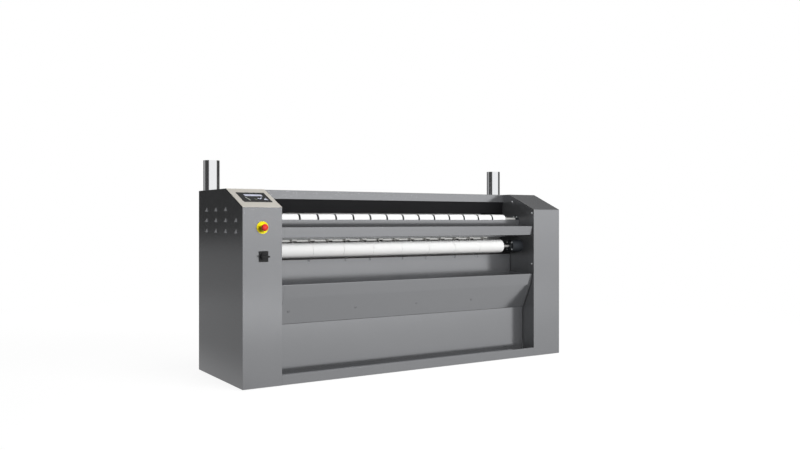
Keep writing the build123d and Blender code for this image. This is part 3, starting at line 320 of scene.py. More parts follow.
def black_oxide():
    """Blackened steel screw: nearly black metal with a dull oily shine."""
    made, tree, place = begin("black_oxide_steel")
    cloud = add(tree, "TexNoise", {"Vector": place, "Scale": per_mm(3), "Detail": 2.0})
    gloss = add(tree, "MapRange", {"Value": cloud.outputs[0], "To Min": 0.35, "To Max": 0.5})
    end(tree, Base_Color=linear("#3b3c3e"), Metallic=0.8, Roughness=gloss.outputs[0])
    return made


def drawn_aluminium():
    """Natural anodised aluminium extrusion: matt silver with die lines along its length."""
    made, tree, place = begin("anodised_aluminium_extrusion")
    stretch = add(
        tree, "Mapping", {"Vector": place, "Scale": (3.0, per_mm(0.8), per_mm(0.8))}
    )
    lines = add(tree, "TexNoise", {"Vector": stretch.outputs[0], "Scale": 1.0, "Detail": 2.0})
    tint = add(
        tree,
        "Mix",
        {0: lines.outputs[0], 6: linear("#b4b6b8"), 7: linear("#c8cacb")},
        data_type="RGBA",
    )
    relief = add(
        tree, "Bump", {"Height": lines.outputs[0], "Strength": 0.06, "Distance": 0.1 * MM}
    )
    end(
        tree,
        Base_Color=tint.outputs[2],
        Metallic=1.0,
        Roughness=0.38,
        Normal=relief.outputs[0],
    )
    return made


def sand_cast(name, dark, light, metallic, rough):
    """Sand-cast metal, bare or painted: pebbled skin left by the sand, its tone varying in broad
    patches.
    """
    made, tree, place = begin(name)
    pebble = add(tree, "TexNoise", {"Vector": place, "Scale": per_mm(2.2), "Detail": 3.0})
    cloud = add(tree, "TexNoise", {"Vector": place, "Scale": per_mm(45), "Detail": 3.0})
    tint = add(
        tree, "Mix", {0: cloud.outputs[0], 6: linear(dark), 7: linear(light)}, data_type="RGBA"
    )
    relief = add(
        tree, "Bump", {"Height": pebble.outputs[0], "Strength": 0.4, "Distance": 0.5 * MM}
    )
    end(
        tree,
        Base_Color=tint.outputs[2],
        Metallic=metallic,
        Roughness=rough,
        Normal=relief.outputs[0],
    )
    return made


def ironing_belt_cloth():
    """Woven aramid and polyester ironing belt: dense off-white cloth, a faint weft rib
    across it, short fibres that soften the light, and a little scorching in clouds."""
    made, tree, place = begin("woven_ironing_belt")
    rib = add(
        tree,
        "TexWave",
        {"Vector": place, "Scale": bands_per_mm(3.2), "Distortion": 0.6, "Detail": 1.0},
        bands_direction="X",
    )
    fibre_place = add(
        tree, "Mapping", {"Vector": place, "Scale": (per_mm(0.9), per_mm(5), per_mm(5))}
    )
    fibre = add(
        tree, "TexNoise", {"Vector": fibre_place.outputs[0], "Scale": 1.0, "Detail": 2.0}
    )
    cloud = add(tree, "TexNoise", {"Vector": place, "Scale": per_mm(130), "Detail": 3.0})
    tint = add(
        tree,
        "Mix",
        {0: cloud.outputs[0], 6: linear("#f4f4f3"), 7: linear("#f9f9f8")},
        data_type="RGBA",
    )
    thread = add(
        tree,
        "Mix",
        {0: fibre.outputs[0], 6: linear("#efefee"), 7: tint.outputs[2]},
        data_type="RGBA",
    )
    height = add(
        tree,
        "Math",
        {0: rib.outputs["Fac"], 1: 0.5, 2: fibre.outputs[0]},
        operation="MULTIPLY_ADD",
    )
    relief = add(
        tree, "Bump", {"Height": height.outputs[0], "Strength": 0.25, "Distance": 0.3 * MM}
    )
    end(
        tree,
        Base_Color=thread.outputs[2],
        Roughness=0.8,
        Sheen_Weight=0.15,
        Sheen_Roughness=0.5,
        Normal=relief.outputs[0],
    )
    return made


def feed_belt_cloth():
    """Coated polyester feed belt: clean white, with fabric print pressed into a thin smooth face.
    A black band along each edge is painted shade: it widens the dark lines of the gaps between
    the belts."""
    made, tree, place = begin("coated_feed_belt")
    threads = [
        add(
            tree,
            "TexWave",
            {"Vector": place, "Scale": bands_per_mm(2.0), "Distortion": 0.2},
            bands_direction=direction,
        ).outputs["Fac"]
        for direction in "XY"
    ]
    weave = add(tree, "Math", {0: threads[0], 1: threads[1]}, operation="MULTIPLY")
    cloud = add(tree, "TexNoise", {"Vector": place, "Scale": per_mm(80), "Detail": 2.0})
    tint = add(
        tree,
        "Mix",
        {0: cloud.outputs[0], 6: linear("#f3f3f3"), 7: linear("#fafafa")},
        data_type="RGBA",
    )
    at = add(tree, "SeparateXYZ", {"Vector": place})
    from_left = add(
        tree,
        "Math",
        {0: at.outputs["X"], 1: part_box("feed_belts")[0][0] - FEED_GAP / 2 * MM},
        operation="SUBTRACT",
    )
    from_gap = add(
        tree, "Math", {0: from_left.outputs[0], 1: FEED_PITCH / 2 * MM}, operation="PINGPONG"
    )
    gap_shade_to = (FEED_GAP / 2 + GAP_SHADE_EDGE) * MM
    clear_of_gap_shade = add(
        tree,
        "MapRange",
        {
            "Value": from_gap.outputs[0],
            "From Min": gap_shade_to - GAP_SHADE_BLUR * MM,
            "From Max": gap_shade_to,
        },
    )
    # Painted shade: black along the belt's edges, for the shade in the gaps between the belts.
    with_gap_shade = add(
        tree,
        "Mix",
        {0: clear_of_gap_shade.outputs[0], 6: linear("#101010"), 7: tint.outputs[2]},
        data_type="RGBA",
    )
    relief = add(
        tree, "Bump", {"Height": weave.outputs[0], "Strength": 0.15, "Distance": 0.2 * MM}
    )
    end(tree, Base_Color=with_gap_shade.outputs[2], Roughness=0.5, Normal=relief.outputs[0])
    return made


def moulded(name, dark, light, rough, grain=0.8, coat=0.0):
    """Injection-moulded plastic: even colour, spark-eroded grain of the tool in mm."""
    made, tree, place = begin(name)
    spark = add(tree, "TexNoise", {"Vector": place, "Scale": per_mm(grain), "Detail": 1.0})
    cloud = add(tree, "TexNoise", {"Vector": place, "Scale": per_mm(25), "Detail": 2.0})
    tint = add(
        tree, "Mix", {0: cloud.outputs[0], 6: linear(dark), 7: linear(light)}, data_type="RGBA"
    )
    relief = add(
        tree, "Bump", {"Height": spark.outputs[0], "Strength": 0.12, "Distance": 0.15 * MM}
    )
    end(
        tree,
        Base_Color=tint.outputs[2],
        Roughness=rough,
        IOR=1.53,
        Coat_Weight=coat,
        Coat_Roughness=0.15,
        Normal=relief.outputs[0],
    )
    return made


def bezel_film():
    """Polycarbonate overlay film, back-printed in pearl champagne: warm pale, faint fleck."""
    made, tree, place = begin("champagne_overlay_film")
    fleck = add(tree, "TexNoise", {"Vector": place, "Scale": per_mm(1.5), "Detail": 1.0})
    tint = add(
        tree,
        "Mix",
        {0: fleck.outputs[0], 6: linear("#d2cdc4"), 7: linear("#dad5cc")},
        data_type="RGBA",
    )
    end(tree, Base_Color=tint.outputs[2], Roughness=0.4, IOR=1.58)
    return made


def keypad_face():
    """Hard-coated polyester touch face over a black print, anti-glare etched: deep black with
    a soft shine and faint finger haze."""
    made, tree, place = begin("black_keypad_face")
    haze = add(tree, "TexNoise", {"Vector": place, "Scale": per_mm(22), "Detail": 3.0})
    gloss = add(tree, "MapRange", {"Value": haze.outputs[0], "To Min": 0.2, "To Max": 0.32})
    end(tree, Base_Color=linear("#050608"), Roughness=gloss.outputs[0], IOR=1.38)
    return made


def screen_print(name, code):
    """Screen-printed ink on the keypad: flat pale colour with a slightly dry surface."""
    made, tree, place = begin(name)
    ink = add(tree, "TexNoise", {"Vector": place, "Scale": per_mm(0.8), "Detail": 1.0})
    gloss = add(tree, "MapRange", {"Value": ink.outputs[0], "To Min": 0.4, "To Max": 0.55})
    end(tree, Base_Color=linear(code), Roughness=gloss.outputs[0], IOR=1.5)
    return made


def belt_rubber(name):
    """Neoprene: black, matt, faintly dusty grey in patches."""
    made, tree, place = begin(name)
    dust = add(tree, "TexNoise", {"Vector": place, "Scale": per_mm(12), "Detail": 4.0})
    tint = add(
        tree,
        "Mix",
        {0: dust.outputs[0], 6: linear("#161616"), 7: linear("#2a2a2a")},
        data_type="RGBA",
    )
    relief = add(
        tree, "Bump", {"Height": dust.outputs[0], "Strength": 0.15, "Distance": 0.3 * MM}
    )
    end(tree, Base_Color=tint.outputs[2], Roughness=0.75, IOR=1.52, Normal=relief.outputs[0])
    return made


def lagged_gap_shade_roller():
    """Steel roller lagged in black nitrile, ground matt for grip: black under and between the
    feed belts, which also paints the shade in the gaps between the belts, and the pale
    zinc-plated shaft shines at each end."""
    made, tree, place = begin("lagged_roller_with_gap_shade")
    belts_low, belts_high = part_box("feed_belts")
    along = add(tree, "SeparateXYZ", {"Vector": place})
    off = add(
        tree,
        "Math",
        {0: along.outputs["X"], 1: (belts_low[0] + belts_high[0]) / 2},
        operation="SUBTRACT",
    )
    away = add(tree, "Math", {0: off.outputs[0]}, operation="ABSOLUTE")
    bare = add(
        tree,
        "Math",
        {0: away.outputs[0], 1: (belts_high[0] - belts_low[0]) / 2 + 0.5 * MM},
        operation="GREATER_THAN",
    )
    grain = add(tree, "TexNoise", {"Vector": place, "Scale": per_mm(2.5), "Detail": 2.0})
    # Black lagging under and between the belts, also painted shade for the gaps between the
    # belts.
    lagging_and_gap_shade = add(
        tree,
        "Mix",
        {0: grain.outputs[0], 6: linear("#050506"), 7: linear("#0c0c0d")},
        data_type="RGBA",
    )
    tint = add(
        tree,
        "Mix",
        {0: bare.outputs[0], 6: lagging_and_gap_shade.outputs[2], 7: linear("#f0efec")},
        data_type="RGBA",
    )
    gloss = add(
        tree, "MapRange", {"Value": bare.outputs[0], "To Min": 0.75, "To Max": 0.28}
    )
    plated = add(tree, "Math", {0: bare.outputs[0], 1: 0.6}, operation="MULTIPLY")
    relief = add(
        tree, "Bump", {"Height": grain.outputs[0], "Strength": 0.1, "Distance": 0.2 * MM}
    )
    end(
        tree,
        Base_Color=tint.outputs[2],
        Metallic=plated.outputs[0],
        Roughness=gloss.outputs[0],
        Normal=relief.outputs[0],
    )
    return made


def guard_black_and_shade():
    """Matt black powder coat on the finger guard; its black is also painted shade for the dark
    interior of the bay above the feed roller, so that the feed slot reads as a dark line.
    """
    made, tree, place = begin("matt_black_guard_coat_and_shade")
    cloud = add(tree, "TexNoise", {"Vector": place, "Scale": per_mm(70), "Detail": 3.0})
    tint = add(
        tree,
        "Mix",
        {0: cloud.outputs[0], 6: linear("#08080a"), 7: linear("#0e0e10")},
        data_type="RGBA",
    )
    end(tree, Base_Color=tint.outputs[2], Roughness=0.6, IOR=1.36)
    return made


COAT_SHADES = ("#9a9b9e", "#9d9ea0", "#a1a2a4")
COAT = powder_coat("silver_powder_coat", COAT_SHADES, 0.85, 0.16)
TRAY_COAT = powder_coat("rolled_tray_coat", COAT_SHADES, 0.85, 0.2, rolled_wall)
# The bay's end panels: the same silver coat made darker and less metallic, as painted shade for
# the shade they lie in within the bay.
SHADE_PAINTED_INNER_COAT = powder_coat("painted_shade_silver_coat", ("#737476", "#76777a", "#7b7c7e"), 0.45, 0.3)
# The finger guard's matt black, which also stands as painted shade for the dark interior above
# the feed roller.
GUARD_BLACK_AND_SHADE = guard_black_and_shade()
ENAMEL = frame_enamel()
STEEL = turned_steel("turned_mild_steel", "#dddcd9", "#efeeeb", 0.3, 0.7)
POLISHED = turned_steel("polished_roll_steel", "#c0c0be", "#cfcfcd", 0.14, 0.5)
STAINLESS = bright_stainless()
ZINC_SHEET = hot_dip_zinc("galvanised_sheet", 9)
ZINC_FINE = hot_dip_zinc("galvanised_fan_sheet", 5)
ZINC_PLATE = zinc_plate()
OXIDE = black_oxide()
LAGGED_GAP_SHADE = lagged_gap_shade_roller()
EXTRUSION = drawn_aluminium()
CASTING = sand_cast("painted_grey_casting", "#5a6065", "#666c70", 0.0, 0.5)
BLACK_CASTING = sand_cast("dark_painted_casting", "#26292c", "#303337", 0.0, 0.42)
BARE_CASTING = sand_cast("die_cast_aluminium", "#a3a6a8", "#b4b6b8", 1.0, 0.45)
BELT_CLOTH = ironing_belt_cloth()
FEED_CLOTH = feed_belt_cloth()
BEZEL = bezel_film()
KEYPAD = keypad_face()
BLACK_PLASTIC = moulded("black_glass_filled_nylon", "#09090a", "#101011", 0.4)
GREY_PLASTIC = moulded("light_grey_switchgear_nylon", "#c3c4c0", "#cdcdca", 0.5)
RED_PLASTIC = moulded("signal_red_nylon", "#e3170c", "#ec2012", 0.28, coat=0.6)
YELLOW_PLASTIC = moulded("signal_yellow_nylon", "#fdee12", "#fff31c", 0.42)
GLAND_PLASTIC = moulded("black_gland_nylon", "#1b1b1c", "#242425", 0.5)
NEOPRENE = belt_rubber("neoprene_drive_belt")
PALE_INK = screen_print("pale_screen_ink", "#d8dbec")
GREY_INK = screen_print("grey_screen_ink", "#b4b7b0")
DIM_INK = screen_print("dim_screen_ink", "#6c6f62")

FINISH_OF_NODE = {
    COAT: (
        "back_panel bay_end_caps front_base_rail hood "
        "left_front_cover left_side_panel left_top_cover linen_trough lower_panel "
        "rear_base_rail rear_covers rear_panel right_front_cover right_side_panel "
        "right_top_cover"
    ),
    TRAY_COAT: "feed_tray",
    SHADE_PAINTED_INNER_COAT: "inner_panels",
    GUARD_BLACK_AND_SHADE: "finger_guard",
    ENAMEL: "left_side_frame right_side_frame tension_arms tie_beams",
    STEEL: (
        "guide_roller lower_roller press_roller "
        "rear_roller roller_bearings tension_roller stripper_holders stripper_fingers "
        "element_support heating_elements"
    ),
    LAGGED_GAP_SHADE: "feed_roller inner_feed_roller",
    POLISHED: "heated_roll",
    STAINLESS: "exhaust_pipes",
    ZINC_SHEET: "electrical_plate fan_housings",
    ZINC_FINE: "left_fan_wheel right_fan_wheel",
    ZINC_PLATE: "levelling_feet",
    EXTRUSION: "stripper_bar",
    CASTING: "drive_gearbox drive_motor roll_bearings",
    BLACK_CASTING: "front_bearings",
    BARE_CASTING: "fan_motors feed_pulley roll_pulley",
    BELT_CLOTH: "ironing_belts",
    FEED_CLOTH: "feed_belts",
    BEZEL: "console_bezel",
    KEYPAD: "keypad",
    BLACK_PLASTIC: "switch_knob switch_plate",
    GREY_PLASTIC: "switchgear",
    RED_PLASTIC: "stop_button",
    YELLOW_PLASTIC: "stop_collar",
    GLAND_PLASTIC: "cable_gland",
    NEOPRENE: "feed_drive_belt",
}
for finish, names in FINISH_OF_NODE.items():
    for name in names.split():
        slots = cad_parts[name].data.materials
        slots.clear()
        slots.append(finish)


# ---- Studio: pale floor and the surroundings that gloss mirrors ----
def ray_kinds(tree):
    """The kind of ray that looks, and 1 for one that gloss or glass sends."""
    path = add(tree, "LightPath")
    mirrored = add(
        tree,
        "Math",
        {0: path.outputs["Is Glossy Ray"], 1: path.outputs["Is Transmission Ray"]},
        operation="MAXIMUM",
    )
    return path, mirrored


def studio_floor():
    """White studio floor that keeps the shadow near the machine and fades to the background."""
    made, tree, place = begin("white_studio_floor")
    away = add(tree, "VectorMath", {0: place}, operation="LENGTH")
    fade = add(
        tree,
        "MapRange",
        {"Value": away.outputs["Value"], "From Min": FLOOR_FADE[0], "From Max": FLOOR_FADE[1]},
        interpolation_type="SMOOTHSTEP",
    )
    path, mirrored = ray_kinds(tree)
    across_floor = add(tree, "SeparateXYZ", {"Vector": place})
    rearward = add(
        tree,
        "MapRange",
        {
            "Value": across_floor.outputs["Y"],
            "From Min": FLOOR_MIRROR_FADE[0],
            "From Max": FLOOR_MIRROR_FADE[1],
            "To Min": FLOOR_IN_MIRROR[0],
            "To Max": FLOOR_IN_MIRROR[1],
        },
    )
    sideways = add(
        tree,
        "MapRange",
        {
            "Value": across_floor.outputs["X"],
            "From Min": FLOOR_SIDE_FADE[0],
            "From Max": FLOOR_SIDE_FADE[1],
            "To Min": FLOOR_IN_MIRROR[1],
            "To Max": FLOOR_AT_SIDES,
        },
        interpolation_type="SMOOTHSTEP",
    )
    level = add(
        tree, "Math", {0: rearward.outputs[0], 1: sideways.outputs[0]}, operation="MAXIMUM"
    )
    in_mirror = add(
        tree, "Math", {0: mirrored.outputs[0], 1: level.outputs[0]}, operation="MULTIPLY"
    )
    in_view = add(
        tree, "Math", {0: path.outputs["Is Camera Ray"], 1: FLOOR_LIFT}, operation="MULTIPLY"
    )
    lift = add(
        tree, "Math", {0: in_view.outputs[0], 1: in_mirror.outputs[0]}, operation="MAXIMUM"
    )
    near = add(
        tree,
        "BsdfPrincipled",
        {
            "Base Color": linear("#747474"),
            "Roughness": 0.9,
            "Specular IOR Level": 0.0,
            "Emission Color": (1, 1, 1, 1),
            "Emission Strength": lift.outputs[0],
        },
    )
    far = add(tree, "Emission", {"Color": (1, 1, 1, 1), "Strength": BACKGROUND})
    share = add(
        tree,
        "Math",
        {0: fade.outputs[0], 1: path.outputs["Is Camera Ray"]},
        operation="MULTIPLY",
    )
    both = add(
        tree, "MixShader", {0: share.outputs[0], 1: near.outputs[0], 2: far.outputs[0]}
    )
    add(tree, "OutputMaterial", {"Surface": both.outputs[0]})
    return made


def surroundings():
    """The studio round the machine, by the direction of the ray: white in front, a pale wall
    at the left rear, a light low box at the rear and a dim ceiling. Only gloss sees them; the
    camera sees the background, and other rays a weak fill."""
    made = bpy.data.worlds.new("studio_surroundings")
    made.use_nodes = True
    sky = made.node_tree
    sky.nodes.clear()
    look = add(sky, "SeparateXYZ", {"Vector": add(sky, "TexCoord").outputs["Generated"]})
    behind = add(sky, "Math", {0: look.outputs["Y"], 1: -1.0}, operation="MULTIPLY")
    turn = add(
        sky, "Math", {0: look.outputs["X"], 1: behind.outputs[0]}, operation="ARCTAN2"
    )
    bearing, height = turn.outputs[0], look.outputs["Z"]
    ramps = {
        "front starts": (bearing, *map(radians, FRONT_STARTS), 0.0, 1.0),
        "front ends": (bearing, *map(radians, FRONT_ENDS), 0.0, 1.0),
        "wall starts": (bearing, *map(radians, WALL_STARTS), 0.0, WALL_IN_MIRROR),
        "wall ends": (bearing, *map(radians, WALL_ENDS), 0.0, 1.0),
        "rear starts": (bearing, *map(radians, REAR_STARTS), 0.0, REAR_IN_MIRROR),
        "rear goes on": (bearing, *map(radians, REAR_GOES_ON), 0.0, REAR_IN_MIRROR),
        "rear top": (height, *REAR_TOP, 1.0, 0.0),
        "front top": (height, *FRONT_TOP, 1.0, 0.5),
        "ceiling": (height, *CEILING, *CEILING_IN_MIRROR),
    }
    levels = {}
    for name, (value, start, stop, first, last) in ramps.items():
        ramp = {"From Min": start, "From Max": stop, "To Min": first, "To Max": last}
        levels[name] = add(
            sky, "MapRange", {"Value": value, **ramp}, interpolation_type="SMOOTHSTEP"
        )
    for name, one, how, other in (
        ("front", "front starts", "MULTIPLY", "front ends"),
        ("wall", "wall starts", "MULTIPLY", "wall ends"),
        ("rear round", "rear starts", "MAXIMUM", "rear goes on"),
        ("rear", "rear round", "MULTIPLY", "rear top"),
        ("sides", "front", "MAXIMUM", "wall"),
        ("all round", "sides", "MAXIMUM", "rear"),
        ("walls", "all round", "MULTIPLY", "front top"),
        ("mirrored", "walls", "MAXIMUM", "ceiling"),
    ):
        sockets = {0: levels[one].outputs[0], 1: levels[other].outputs[0]}
        levels[name] = add(sky, "Math", sockets, operation=how)
    path, in_gloss = ray_kinds(sky)
    unseen = add(
        sky,
        "Mix",
        {0: in_gloss.outputs[0], 2: FILL, 3: levels["mirrored"].outputs[0]},
        data_type="FLOAT",
    )
    shown = add(
        sky,
        "Mix",
        {0: path.outputs["Is Camera Ray"], 2: unseen.outputs[0], 3: BACKGROUND},
        data_type="FLOAT",
    )
    backdrop = add(sky, "Background", {"Color": (1, 1, 1, 1), "Strength": shown.outputs[0]})
    add(sky, "OutputWorld", {"Surface": backdrop.outputs[0]})
    return made


# ---- Making pieces: lathe work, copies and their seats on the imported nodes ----
def placed(name, bm):
    """Makes the object of a finished bmesh; its place is in its mesh."""
    mesh = bpy.data.meshes.new(name)
    bm.to_mesh(mesh)
    bm.free()
    made = bpy.data.objects.new(name, mesh)
    bpy.context.scene.collection.objects.link(made)
    return made


def spot(x, depth, height):
    """A place in metres from millimetres across, behind the front covers and above the floor."""
    return Vector((x, depth - FRONT, height)) * MM


def lathe(profile, steps=24):
    """Turns an open profile of (radius, height) in millimetres round z."""
    bm = bmesh.new()
    line = [bm.verts.new((radius * MM, 0, height * MM)) for radius, height in profile]
    edges = [bm.edges.new(pair) for pair in zip(line, line[1:])]
    bmesh.ops.spin(
        bm,
        geom=line + edges,
        axis=(0, 0, 1),
        angle=2 * pi,
        steps=steps,
        use_merge=True,
    )
    bmesh.ops.remove_doubles(bm, verts=bm.verts, dist=0.001 * MM)
    bmesh.ops.recalc_face_normals(bm, faces=bm.faces)
    return bm


def plate(width, height, thick, corner):
    """A flat plate with rounded corners, lying on z = 0; sizes in millimetres."""
    bm = bmesh.new()
    bmesh.ops.create_grid(bm, x_segments=1, y_segments=1, size=0.5)
    bmesh.ops.scale(bm, vec=(width * MM, height * MM, 1), verts=bm.verts)
    raised = bmesh.ops.extrude_face_region(bm, geom=bm.faces[:])
    top = [item for item in raised["geom"] if isinstance(item, bmesh.types.BMVert)]
    bmesh.ops.translate(bm, vec=(0, 0, thick * MM), verts=top)
    upright = [edge for edge in bm.edges if abs(edge.verts[0].co.z - edge.verts[1].co.z) > 0]
    bmesh.ops.bevel(
        bm,
        geom=upright,
        offset=corner * MM,
        segments=5,
        profile=0.5,
        affect="EDGES",
        material=-1,
    )
    bmesh.ops.recalc_face_normals(bm, faces=bm.faces)
    return bm


def gather(shapes, places):
    """One bmesh with a copy of every shape at each placing matrix."""
    whole = bmesh.new()
    for shape in shapes:
        pattern = bpy.data.meshes.new("pattern")
        shape.to_mesh(pattern)
        shape.free()
        for place in places:
            first = len(whole.verts)
            whole.from_mesh(pattern)
            whole.verts.ensure_lookup_table()
            bmesh.ops.transform(whole, matrix=place, verts=whole.verts[first:])
        bpy.data.meshes.remove(pattern)
    return whole


SKINS = {}


def seat(node, start, aim):
    """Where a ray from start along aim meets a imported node: a matrix with z out of its skin
    and x level along it."""
    if node not in SKINS:
        view = bpy.context.evaluated_depsgraph_get()
        SKINS[node] = BVHTree.FromObject(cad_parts[node], view)
    hit, normal, _, _ = SKINS[node].ray_cast(start, Vector(aim))
    across = Vector((0, 0, 1)).cross(normal).normalized()
    turned = Matrix((across, normal.cross(across), normal)).transposed().to_4x4()
    return Matrix.Translation(hit) @ turned


def moved(x, y, turn=0.0):
    """A shift in millimetres and a turn in degrees within a seat's own plane."""
    return Matrix.Translation((x * MM, y * MM, 0)) @ Matrix.Rotation(radians(turn), 4, "Z")


def ring_of(count, radius, start=0.0):
    """Places evenly round a bolt circle."""
    turns = [start + 2 * pi * i / count for i in range(count)]
    return [Matrix.Translation((radius * MM * cos(t), radius * MM * sin(t), 0)) for t in turns]


def piece(name, bm, finish, body, sharp=35):
    """A finished piece: smooth faces, creases sharper than sharp degrees, a finish and the body
    that it rides on."""
    for face in bm.faces:
        face.smooth = True
    for edge in bm.edges:
        if edge.is_manifold and edge.calc_face_angle() > radians(sharp):
            edge.smooth = False
    made = placed(name, bm)
    made.data.materials.append(finish)
    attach(made, body)
    return made


def sign_wedge(radius):
    """A three-cornered sign for the keypad, flat as its ink."""
    return lathe(((0, PRINT), (radius, PRINT), (radius, 0)), steps=3)


def pan_head():
    """Domed screw with a round socket, head 13.6 mm across: its dome finds the light."""
    return lathe(
        (
            (0, 2.4),
            (1.7, 2.4),
            (2.0, 4.4),
            (3.4, 4.1),
            (5.0, 3.0),
            (6.2, 1.6),
            (6.8, 0.4),
            (6.8, -0.4),
        ),
        steps=14,
    )


def hex_head(size):
    """Hexagon bolt head and its washer; size is the head's corner radius in millimetres."""
    head = lathe(
        (
            (0, 0.95 * size),
            (0.8 * size, 0.95 * size),
            (size, 0.82 * size),
            (size, 0.15 * size),
        ),
        steps=6,
    )
    washer = lathe(
        (
            (0.5 * size, 0.2 * size),
            (1.28 * size, 0.2 * size),
            (1.35 * size, 0.12 * size),
            (1.35 * size, -0.3),
        ),
        steps=20,
    )
    return head, washer


# ---- Screws of the panels in the bay ----
back_screws = [seat("back_panel", spot(x, 60, 695), (0, 1, 0)) for x in BACK_SCREWS]
piece(
    "back_panel_screws",
    gather([pan_head()], back_screws),
    ZINC_PLATE,
    "machine",
)
inner_screws = [
    seat("inner_panels", spot(0.95 * side * 940, depth, height), (side, 0, 0))
    for side in (-1, 1)
    for depth, height in END_SCREWS
]
piece(
    "inner_panel_screws",
    gather([pan_head()], inner_screws),
    ZINC_PLATE,
    "machine",
)
slope_screws = [seat("linen_trough", spot(x, -60, 415), (0, 1, 0)) for x in TROUGH_SCREWS]
piece(
    "trough_screws",
    gather([pan_head()], slope_screws),
    COAT,
    "machine",
)

# ---- Screws of the rear ----
panel_low, panel_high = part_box("rear_panel")
cover_low, cover_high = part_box("rear_covers")
rear_screws = [
    seat("rear_panel", Vector((x, 1.0, z)), (0, -1, 0))
    for x in (-0.86, -0.43, 0.0, 0.43, 0.86)
    for z in (panel_low[2] + 22 * MM, panel_high[2] - 22 * MM)
]
cover_screws = [
    seat("rear_covers", Vector((side * x, 1.0, z)), (0, -1, 0))
    for side in (-1, 1)
    for x in (cover_high[0] - 24 * MM, cover_high[0] - 213 * MM)
    for z in (cover_low[2] + 24 * MM, 0.55, cover_high[2] - 24 * MM)
]
piece(
    "rear_screws",
    gather([pan_head()], rear_screws + cover_screws),
    OXIDE,
    "machine",
)

# ---- Bolts of the bearings in the bay ----
bearing_bolts = []
for side in (-1, 1):
    flange = seat("inner_panels", spot(side * 900, 190, 1010), (side, 0, 0))
    flange.translation = spot(side * BAY_END, *FEED_SHAFT)
    bearing_bolts += [flange @ place for place in ring_of(4, 19.5, pi / 4)]
left_flange = seat("inner_panels", spot(-900, 190, 1010), (-1, 0, 0))
left_flange.translation = spot(-BAY_END, *LOWER_SHAFT)
bearing_bolts += [left_flange @ place for place in ring_of(4, 26.5, pi / 4)]
shaft_depth, shaft_height = LOWER_SHAFT
housing_face = seat(
    "front_bearings", spot(800, shaft_depth - LOWER_HOUSING_RADIUS, shaft_height), (1, 0, 0)
)
shaft_end = spot(0, *LOWER_SHAFT)
housing_face.translation = Vector((housing_face.translation.x, shaft_end.y, shaft_end.z))
bearing_bolts += [
    housing_face @ place for place in ring_of(4, LOWER_HOUSING_RADIUS, pi / 4)
]
piece(
    "bearing_bolts",
    gather(hex_head(5.2), bearing_bolts),
    ZINC_PLATE,
    "machine",
)

# ---- Stop button: smooth mushroom head on its stem ----
stop_low, stop_high = (Vector(corner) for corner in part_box("stop_button"))
stop_middle = (stop_low + stop_high) / 2
stop_face = Matrix.Translation((stop_middle.x, spot(0, 0, 0).y, stop_middle.z))
mushroom = lathe(
    (
        (0, -24),
        (6, -24),
        (6, 19),
        (7.5, 21.5),
        (12, 24.5),
        (17.5, 27.2),
        (19.4, 28.4),
        (20, 30),
        (20, 35),
        (19.5, 37.6),
        (18.1, 40.2),
        (15.6, 42.6),
        (12, 44.4),
        (8, 45.5),
        (4, 45.9),
        (0, 46),
    ),
    steps=48,
)
bmesh.ops.transform(
    mushroom,
    matrix=stop_face @ Matrix.Rotation(radians(90), 4, "X"),
    verts=mushroom.verts,
)
button = piece("stop_mushroom", mushroom, RED_PLASTIC, "stop_button", sharp=50)
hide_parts("stop_button")

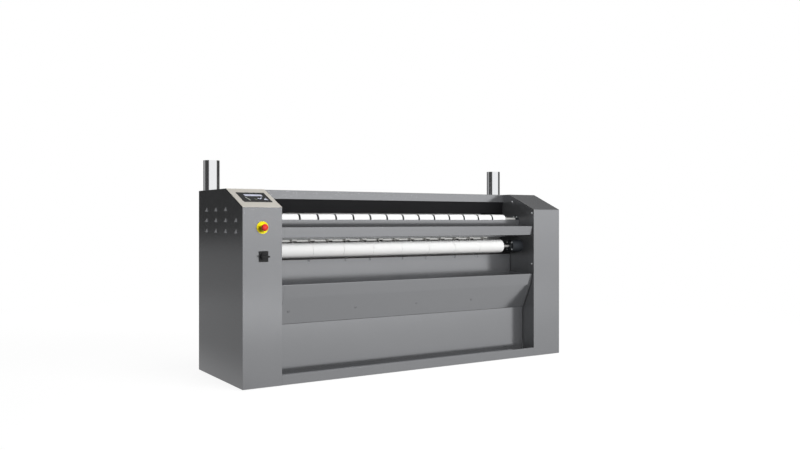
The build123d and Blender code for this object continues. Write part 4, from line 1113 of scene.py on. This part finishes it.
# ---- Prints on the keypad: a plain display bar and four plain signs ----
keypad_low, keypad_high = (Vector(corner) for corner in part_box("keypad"))
keypad_middle = (keypad_low + keypad_high) / 2
face = seat("keypad", Vector((keypad_middle.x, keypad_middle.y, 2.0)), (0, 0, -1))
piece(
    "keypad_display",
    gather([plate(110, 27, PRINT, 3)], [face @ moved(5, 29)]),
    PALE_INK,
    "machine",
)
SIGNS = {
    "keypad_sign_stroke": (GREY_INK, [(plate(7.5, 52, PRINT, 3.4), moved(-45.5, -25, 17))]),
    "keypad_sign_bar": (DIM_INK, [(plate(9, 26, PRINT, 3), moved(-1, -36, 17))]),
    "keypad_sign_tick": (
        PALE_INK,
        [
            (plate(7, 17, PRINT, 2), moved(22, -24, 35)),
            (plate(7, 30, PRINT, 2), moved(34, -20, -42)),
        ],
    ),
    "keypad_sign_start": (PALE_INK, [(sign_wedge(17), moved(61, -33, 90))]),
}
for name, (ink, strokes) in SIGNS.items():
    whole = bmesh.new()
    for shape, place in strokes:
        part = bpy.data.meshes.new("stroke")
        gather([shape], [face @ place]).to_mesh(part)
        whole.from_mesh(part)
        bpy.data.meshes.remove(part)
    piece(name, whole, ink, "machine")

# ---- Floor, surroundings and soft lights ----
bm = bmesh.new()
bmesh.ops.create_grid(bm, x_segments=1, y_segments=1, size=FLOOR_SIZE / 2)
floor = placed("studio_floor", bm)
floor.data.materials.append(studio_floor())
bpy.context.scene.world = surroundings()


def softbox(name, at, aim, size, power):
    """A rectangular soft light at a place, turned towards a point. Metal and gloss mirror the
    surroundings in its stead."""
    data = bpy.data.lights.new(name, "AREA")
    data.shape = "RECTANGLE"
    data.size, data.size_y = size
    data.energy = power
    made = bpy.data.objects.new(name, data)
    made.location = at
    made.rotation_euler = (Vector(aim) - Vector(at)).to_track_quat("-Z", "Y").to_euler()
    made.visible_glossy = False
    bpy.context.scene.collection.objects.link(made)


softbox("front_softbox", (1.0, -5.2, 2.3), (0, 0, 0.6), (3.6, 2.0), 310)
softbox("rear_softbox", (0.5, 5.5, 2.0), (0, 0, 0.6), (4.0, 2.4), 150)
softbox("right_softbox", (5.0, 1.0, 2.2), (0, 0, 0.6), (2.5, 2.0), 25)
softbox("top_softbox", (0.0, -0.9, 4.2), (0, -0.1, 0.9), (3.0, 1.6), 42)

# ---- Camera ----
camera_data = bpy.data.cameras.new("photo_camera")
camera_data.sensor_width = 36.0
camera_data.lens = CAMERA_LENS
camera_data.shift_y = CAMERA_SHIFT_Y
camera_data.clip_end = 200.0
camera = bpy.data.objects.new("photo_camera", camera_data)
camera.location = CAMERA_AT
camera.rotation_euler = (radians(90), 0, radians(CAMERA_TURN))
bpy.context.scene.collection.objects.link(camera)
bpy.context.scene.camera = camera

bpy.context.scene.view_settings.view_transform = "Standard"
